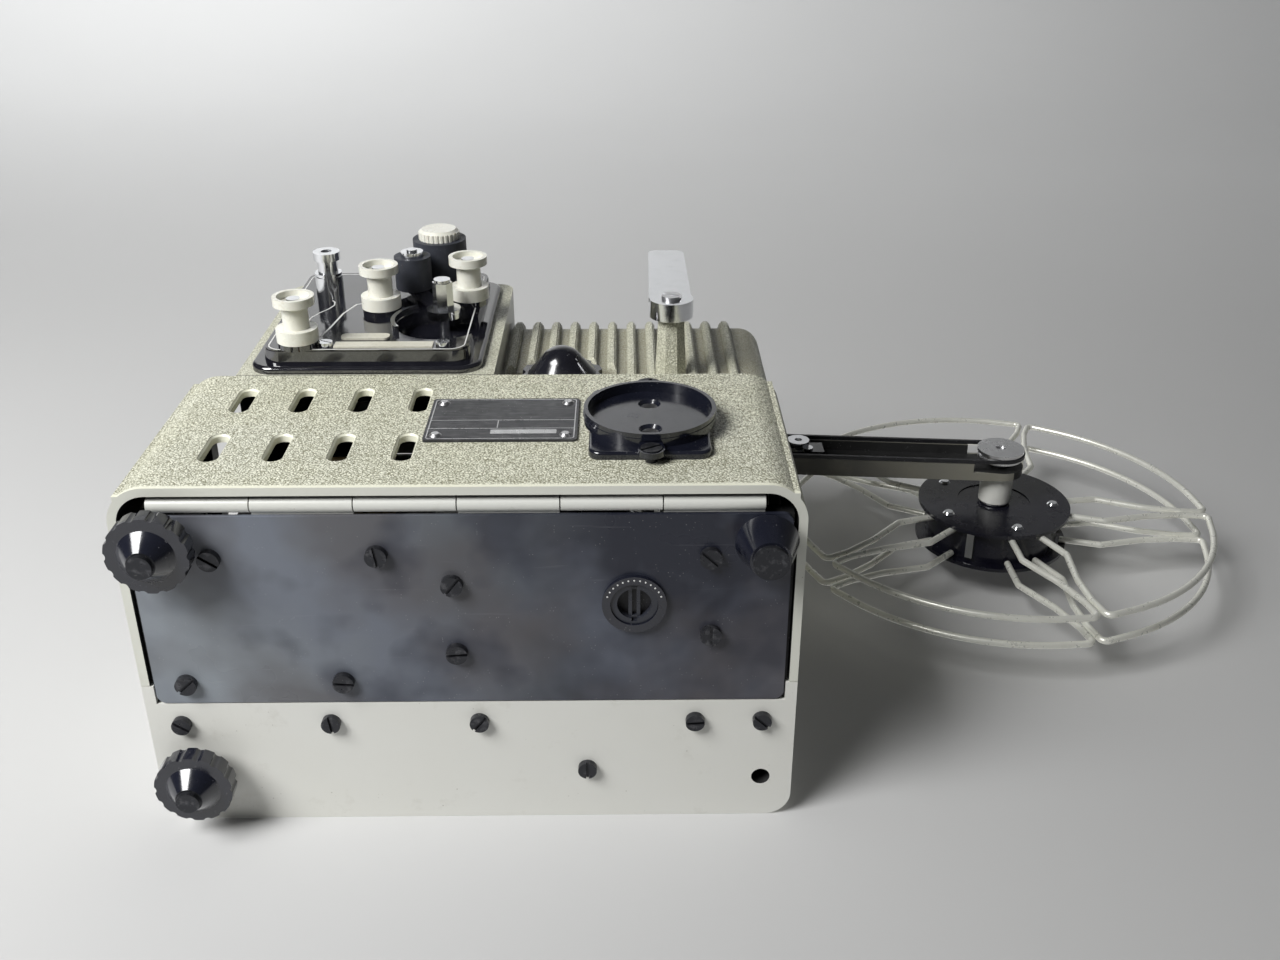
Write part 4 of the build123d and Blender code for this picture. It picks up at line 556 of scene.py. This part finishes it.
paint("motor_rotor", alloy, (dark_metal, lambda c: 2.9 < c.y < 11.1))
paint("lens_barrel", dark_metal, (alloy, lambda c: c.x < -96.1))
paint("lamp_house", hammered, (alloy, lambda c: c.y > 56.05 or near(c, LAMP_SCREW, 2.02)),
      (grey_enamel, lambda c: 10.4 < c.x < 96.6 and c.y < 54.6 and 103.4 < c.z < 168.6))
paint("lamp_socket", moulded("white_ceramic", (0.70, 0.69, 0.65), 0.35), (steel, lambda c: c.y < 26.0))
paint("projection_lamp", bulb_clear, (brass, lamp_cap),
      (tungsten, lambda c: 119.0 < c.z < 134.2 and lamp_radius(c) < 5.0))
paint("condenser", dark_metal,
      (lens_clear, lambda c: 12.9 < c.x < 26.6 and math.hypot(c.y - LENS_Y, c.z - LENS_Z) < 12.02))
paint("transformer", sheets, (coil, winding))
paint("arm_latch", knob_black, (chrome, lambda c: c.y < 5.75))
paint("reel_hub", reel_black, (chrome, hub_rivet), (chrome, hub_clip))

# nodes of one material
PLAIN = [
    (enamel, "mechanism_plate"),
    (hinge_enamel, "hinge_leaf_fixed", "hinge_leaf_cover"),
    (lacquer, "bottom_plate"),
    (oxide, "underside_screws"),
    (bakelite, "selector_bezel", "connector_collar"),
    (plate_black, "nameplate"),
    (gloss, "tape_panel_base", "tape_panel_face"),
    (chrome, "tape_post", "switch_lever", "film_gate", "pressure_plate"),
    (cream_mould, "guide_roller_lower", "guide_roller_middle", "guide_roller_upper", "capstan_knob",
     "film_roller"),
    (roller_rubber, "pinch_roller"),
    (knob_black, "inching_knob"),
    (alloy, "lever_shaft", "sprocket_upper", "sprocket_lower", "arm_pulley", "take_up_spindle",
     "supply_spindle"),
    (black_rubber, "drive_belt", "arm_belt"),
    (steel, "main_shaft", "claw"),
    (dark_metal, "drum_shutter"),
    (olive, "lens_carrier"),
    (lens_clear, "lens_glass"),
    (mirror, "reflector"),
    (wire, "reel_flanges"),
]
for material, *nodes in PLAIN:
    for n in nodes:
        paint(n, material)


def arm_offset(n, c):
    """Distance of a point from the arm's middle line, in mm."""
    if n == "supply_arm":
        return abs(c.x - SUPPLY_SPINDLE[0])
    dx, dz = REEL[0] - TAKE_UP_PIVOT[0], REEL[1] - TAKE_UP_PIVOT[1]
    return abs((c.x - TAKE_UP_PIVOT[0]) * dz - (c.z - TAKE_UP_PIVOT[1]) * dx) / math.hypot(dx, dz)


for n, spindle in {"take_up_arm": REEL, "supply_arm": SUPPLY_SPINDLE}.items():
    paint(n, olive, (enamel, lambda c, spindle=spindle: c.y > 14.25 and near(c, spindle, 6.9)),
          (inside_painted_shade, lambda c, n=n: 6.65 < c.y < 14.1 and arm_offset(n, c) < 8.4))


# ------------------------------------------------------------------ added pieces
def mesh_object(name, bm, material, body):
    me = bpy.data.meshes.new(name)
    bmesh.ops.recalc_face_normals(bm, faces=bm.faces[:])
    bmesh.ops.translate(bm, verts=bm.verts[:], vec=-PAD * MM)
    bm.to_mesh(me)
    bm.free()
    o = bpy.data.objects.new(name, me)
    bpy.context.scene.collection.objects.link(o)
    me.materials.append(material)
    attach(o, body)
    return o


def vertex(bm, x, y, z):
    """A vertex at a place given in mm."""
    return bm.verts.new((x * MM, y * MM, z * MM))


def loft(bm, rings):
    """Closed solid through rings of equally many vertices."""
    n = len(rings[0])
    for a, b in zip(rings, rings[1:]):
        for i in range(n):
            bm.faces.new((a[i], a[(i + 1) % n], b[(i + 1) % n], b[i]))
    bm.faces.new(rings[0][::-1])
    bm.faces.new(rings[-1])


def prism(bm, points, depth, lift):
    """Closed plate from lift to depth with a softened front edge, over an outline of (x, z) points in mm."""
    cx = sum(p[0] for p in points) / len(points)
    cz = sum(p[1] for p in points) / len(points)

    def ring(y, inset):
        out = []
        for x, z in points:
            k = inset / (math.hypot(x - cx, z - cz) or 1.0)
            out.append(vertex(bm, x - (x - cx) * k, y, z - (z - cz) * k))
        return out

    soft = 0.3 * abs(lift - depth)
    loft(bm, [ring(lift, 0.0), ring(depth + soft, 0.0), ring(depth, soft)])


def stroke(points, width):
    """Outline of a line of constant width through (x, z) points."""
    left, right = [], []
    for i, p in enumerate(points):
        a = points[max(0, i - 1)]
        b = points[min(len(points) - 1, i + 1)]
        dx, dz = b[0] - a[0], b[1] - a[1]
        d = math.hypot(dx, dz)
        nx, nz = -dz / d * width / 2, dx / d * width / 2
        left.append((p[0] + nx, p[1] + nz))
        right.append((p[0] - nx, p[1] - nz))
    return left, right


def band(bm, points, width, y_top, y_low, closed=False):
    """A raised line of constant width through (x, z) points, from y_low up to y_top."""
    pts = points + [points[0], points[1]] if closed else points
    left, right = stroke(pts, width)
    if closed:
        left, right = left[1:], right[1:]
        left[-1], right[-1] = left[0], right[0]
        left, right = left[:-1], right[:-1]
    n = len(left)
    quad = []
    for l, r in zip(left, right):
        quad.append([vertex(bm, q[0], y, q[1]) for q, y in
                     ((l, y_low), (l, y_top), (r, y_top), (r, y_low))])
    last = n if closed else n - 1
    for i in range(last):
        a, b = quad[i], quad[(i + 1) % n]
        for k in range(4):
            bm.faces.new((a[k], a[(k + 1) % 4], b[(k + 1) % 4], b[k]))
    if not closed:
        bm.faces.new(quad[0])
        bm.faces.new(quad[-1][::-1])


def rounded(x0, x1, z0, z1, r, steps=5):
    """Outline of a rectangle with rounded corners."""
    corners = ((x1 - r, z1 - r), (x0 + r, z1 - r), (x0 + r, z0 + r), (x1 - r, z0 + r))
    return [around(corner, r, 90 * q + 90 * k / steps)
            for q, corner in enumerate(corners) for k in range(steps + 1)]


# pale rules on the nameplate, which carries no words
PRINT_LIFT = 0.06
PRINT_SINK = 0.05
plate_lo, plate_hi = (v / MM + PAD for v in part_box("nameplate"))
y_face = plate_lo.y
x0, x1, z0, z1 = plate_lo.x, plate_hi.x, plate_lo.z, plate_hi.z
LOW_RULE, HIGH_RULE = z0 + 8.4, z0 + 14.6
DIVIDER_X = (x0 + x1) / 2 - 1.4
bm = bmesh.new()
border = rounded(x0 + 1.0, x1 - 1.0, z0 + 1.0, z1 - 1.0, 1.0)
band(bm, border, 0.35, y_face - PRINT_LIFT, y_face + PRINT_SINK, True)
for zz in (LOW_RULE, HIGH_RULE):
    band(bm, [(x0 + 1.2, zz), (x1 - 1.2, zz)], 0.3, y_face - 0.05, y_face + PRINT_SINK)
divider = [(DIVIDER_X, LOW_RULE + 0.1), (DIVIDER_X, HIGH_RULE - 0.1)]
band(bm, divider, 0.3, y_face - 0.05, y_face + PRINT_SINK)
mesh_object("nameplate_rules", bm, alloy, "cover")
bm = bmesh.new()
blank_strip = rounded(x0 + 20.5, x1 - 6.5, z0 + 4.4, z0 + 7.4, 0.4)
prism(bm, blank_strip, y_face - 0.07, y_face + PRINT_SINK)
mesh_object("nameplate_blank_strip", bm, alloy, "cover")

# white dots around the voltage selector
SELECTOR_X, SELECTOR_Y = 51.1, -21.5
DOT_CIRCLE, DOT_R, DOTS = 8.6, 0.28, 13
bm = bmesh.new()
for k in range(DOTS):
    a = math.radians(20 + 140 * k / (DOTS - 1))
    cx, cy = SELECTOR_X + DOT_CIRCLE * math.cos(a), SELECTOR_Y - DOT_CIRCLE * math.sin(a)
    loft(bm, [[vertex(bm, cx + r * math.cos(t * math.pi / 6), cy + r * math.sin(t * math.pi / 6), z)
               for t in range(12)] for z, r in ((-1.58, DOT_R), (-1.66, DOT_R), (-1.70, DOT_R * 0.6))])
mesh_object("selector_dots", bm, white_ink, "body")

# white lines that show the path of the tape over the panel
PANEL_Y = -68.4
bm = bmesh.new()
path = [(-59.6, 97.2), (-58.7, 101.0), (-57.0, 110.3), (-55.1, 124.9), (-51.8, 135.0), (-47.5, 136.5)]
band(bm, path, 0.7, PANEL_Y - PRINT_LIFT, PANEL_Y + PRINT_SINK)
loop = [(-66.6, 108.0), (-66.5, 115.0), (-65.9, 120.8), (-63.8, 126.1), (-61.4, 130.1), (-60.1, 134.2),
        (-60.6, 137.6), (-61.8, 139.4)]
band(bm, loop, 0.5, PANEL_Y - PRINT_LIFT, PANEL_Y + PRINT_SINK)
band(bm, rounded(-75.0, -7.0, 89.2, 170.6, 5.0, 8), 0.45, PANEL_Y - 0.05, PANEL_Y + PRINT_SINK, True)
mesh_object("tape_path_lines", bm, white_ink, "body")


# ------------------------------------------------------------------ stage, lights and camera
FILM_SIDE_Y = 61.1
FLOOR_Y = (FILM_SIDE_Y - PAD.y) * MM


def floor_material():
    m = bpy.data.materials.new("paper_floor")
    m.use_nodes = True
    nt = m.node_tree
    b = nt.nodes["Principled BSDF"]
    b.inputs["Roughness"].default_value = 0.85
    b.inputs["Specular IOR Level"].default_value = 0.15
    co = nt.nodes.new("ShaderNodeTexCoord")
    noise = nt.nodes.new("ShaderNodeTexNoise")
    noise.inputs["Scale"].default_value = 3.0
    nt.links.new(co.outputs["Object"], noise.inputs["Vector"])
    ramp = nt.nodes.new("ShaderNodeValToRGB")
    ramp.color_ramp.elements[0].color = (0.52, 0.52, 0.515, 1)
    ramp.color_ramp.elements[1].color = (0.55, 0.55, 0.545, 1)
    nt.links.new(noise.outputs["Fac"], ramp.inputs["Fac"])
    nt.links.new(ramp.outputs["Color"], b.inputs["Base Color"])
    # seen only from the object's side, so it never hides the film side
    geo = nt.nodes.new("ShaderNodeNewGeometry")
    clear = nt.nodes.new("ShaderNodeBsdfTransparent")
    mix = nt.nodes.new("ShaderNodeMixShader")
    nt.links.new(geo.outputs["Backfacing"], mix.inputs["Fac"])
    nt.links.new(b.outputs["BSDF"], mix.inputs[1])
    nt.links.new(clear.outputs["BSDF"], mix.inputs[2])
    nt.links.new(mix.outputs["Shader"], nt.nodes["Material Output"].inputs["Surface"])
    return m


# a sheet of paper that lies under the object and curves up far behind it, as (y, z) in metres
PAPER_BEND = 1.1
PAPER_REACH = 4.0
PAPER_HALF_WIDTH = 5.0
profile = [(FLOOR_Y, -PAPER_REACH), (FLOOR_Y, PAPER_BEND)]
for degrees in range(3, 91, 3):
    a = math.radians(degrees)
    profile.append((FLOOR_Y - PAPER_BEND * (1 - math.cos(a)), PAPER_BEND + PAPER_BEND * math.sin(a)))
profile.append((FLOOR_Y - PAPER_REACH, 2 * PAPER_BEND))
bm = bmesh.new()
rows = [[bm.verts.new((x, y, z)) for x in (-PAPER_HALF_WIDTH, PAPER_HALF_WIDTH)] for y, z in profile]
for p, q in zip(rows, rows[1:]):
    f = bm.faces.new((p[0], p[1], q[1], q[0]))
    f.smooth = True
me = bpy.data.meshes.new("paper_floor")
bm.to_mesh(me)
bm.free()
if me.polygons[0].normal.y > 0:
    me.flip_normals()
floor = bpy.data.objects.new("paper_floor", me)
bpy.context.scene.collection.objects.link(floor)
me.materials.append(floor_material())
floor.visible_shadow = False

world = bpy.data.worlds.new("studio") if not bpy.context.scene.world else bpy.context.scene.world
bpy.context.scene.world = world
world.use_nodes = True
world.node_tree.nodes["Background"].inputs["Color"].default_value = (0.86, 0.88, 0.91, 1)
world.node_tree.nodes["Background"].inputs["Strength"].default_value = 0.06


def area(name, where, aim, size, power, color=(1, 1, 1), spread=180.0):
    """A soft light, placed and aimed from the centre of the lower box."""
    light = bpy.data.lights.new(name, "AREA")
    light.shape = "RECTANGLE"
    light.size, light.size_y = size
    light.energy = power
    light.color = color
    light.spread = math.radians(spread)
    o = bpy.data.objects.new(name, light)
    bpy.context.scene.collection.objects.link(o)
    o.location = Vector(where) - PAD * MM
    o.rotation_mode = "QUATERNION"
    o.rotation_quaternion = (Vector(aim) - Vector(where)).to_track_quat("-Z", "Y")
    return o


area("window", (-0.76, -0.90, -0.48), (-0.34, 0.06, 0.12), (0.7, 0.6), 8.6, (1.0, 1.0, 1.0), 97.0)
area("paper_light", (-1.1, -1.3, 0.8), (0.2, -0.3, 2.3), (1.0, 0.9), 24.0, (0.98, 0.99, 1.0), 114.0)
area("film_side_fill", (0.3, 1.4, 0.7), (0.0, 0.0, 0.1), (1.4, 1.2), 16.0)

# the camera looks down on the underside of the projector, from near its cover side
LENS_MM, SENSOR_MM = 36.98, 36.0
YAW, PITCH = 0.012, 0.474
EYE = Vector((0.048786, -0.235093, -0.335602))
cam_data = bpy.data.cameras.new("camera")
cam_data.lens = LENS_MM
cam_data.sensor_width = SENSOR_MM
cam_data.dof.use_dof = False
cam = bpy.data.objects.new("camera", cam_data)
bpy.context.scene.collection.objects.link(cam)
forward = Vector((math.sin(YAW) * math.cos(PITCH), math.sin(PITCH), math.cos(YAW) * math.cos(PITCH)))
right = Vector((math.cos(YAW), 0.0, -math.sin(YAW)))
up = right.cross(forward)
eye = EYE - PAD * MM
cam.matrix_world = Matrix((
    (right.x, up.x, -forward.x, eye.x),
    (right.y, up.y, -forward.y, eye.y),
    (right.z, up.z, -forward.z, eye.z),
    (0.0, 0.0, 0.0, 1.0),
))
cam_data.clip_start = 0.01
cam_data.clip_end = 30.0
bpy.context.scene.camera = cam
bpy.context.scene.view_settings.view_transform = "Standard"
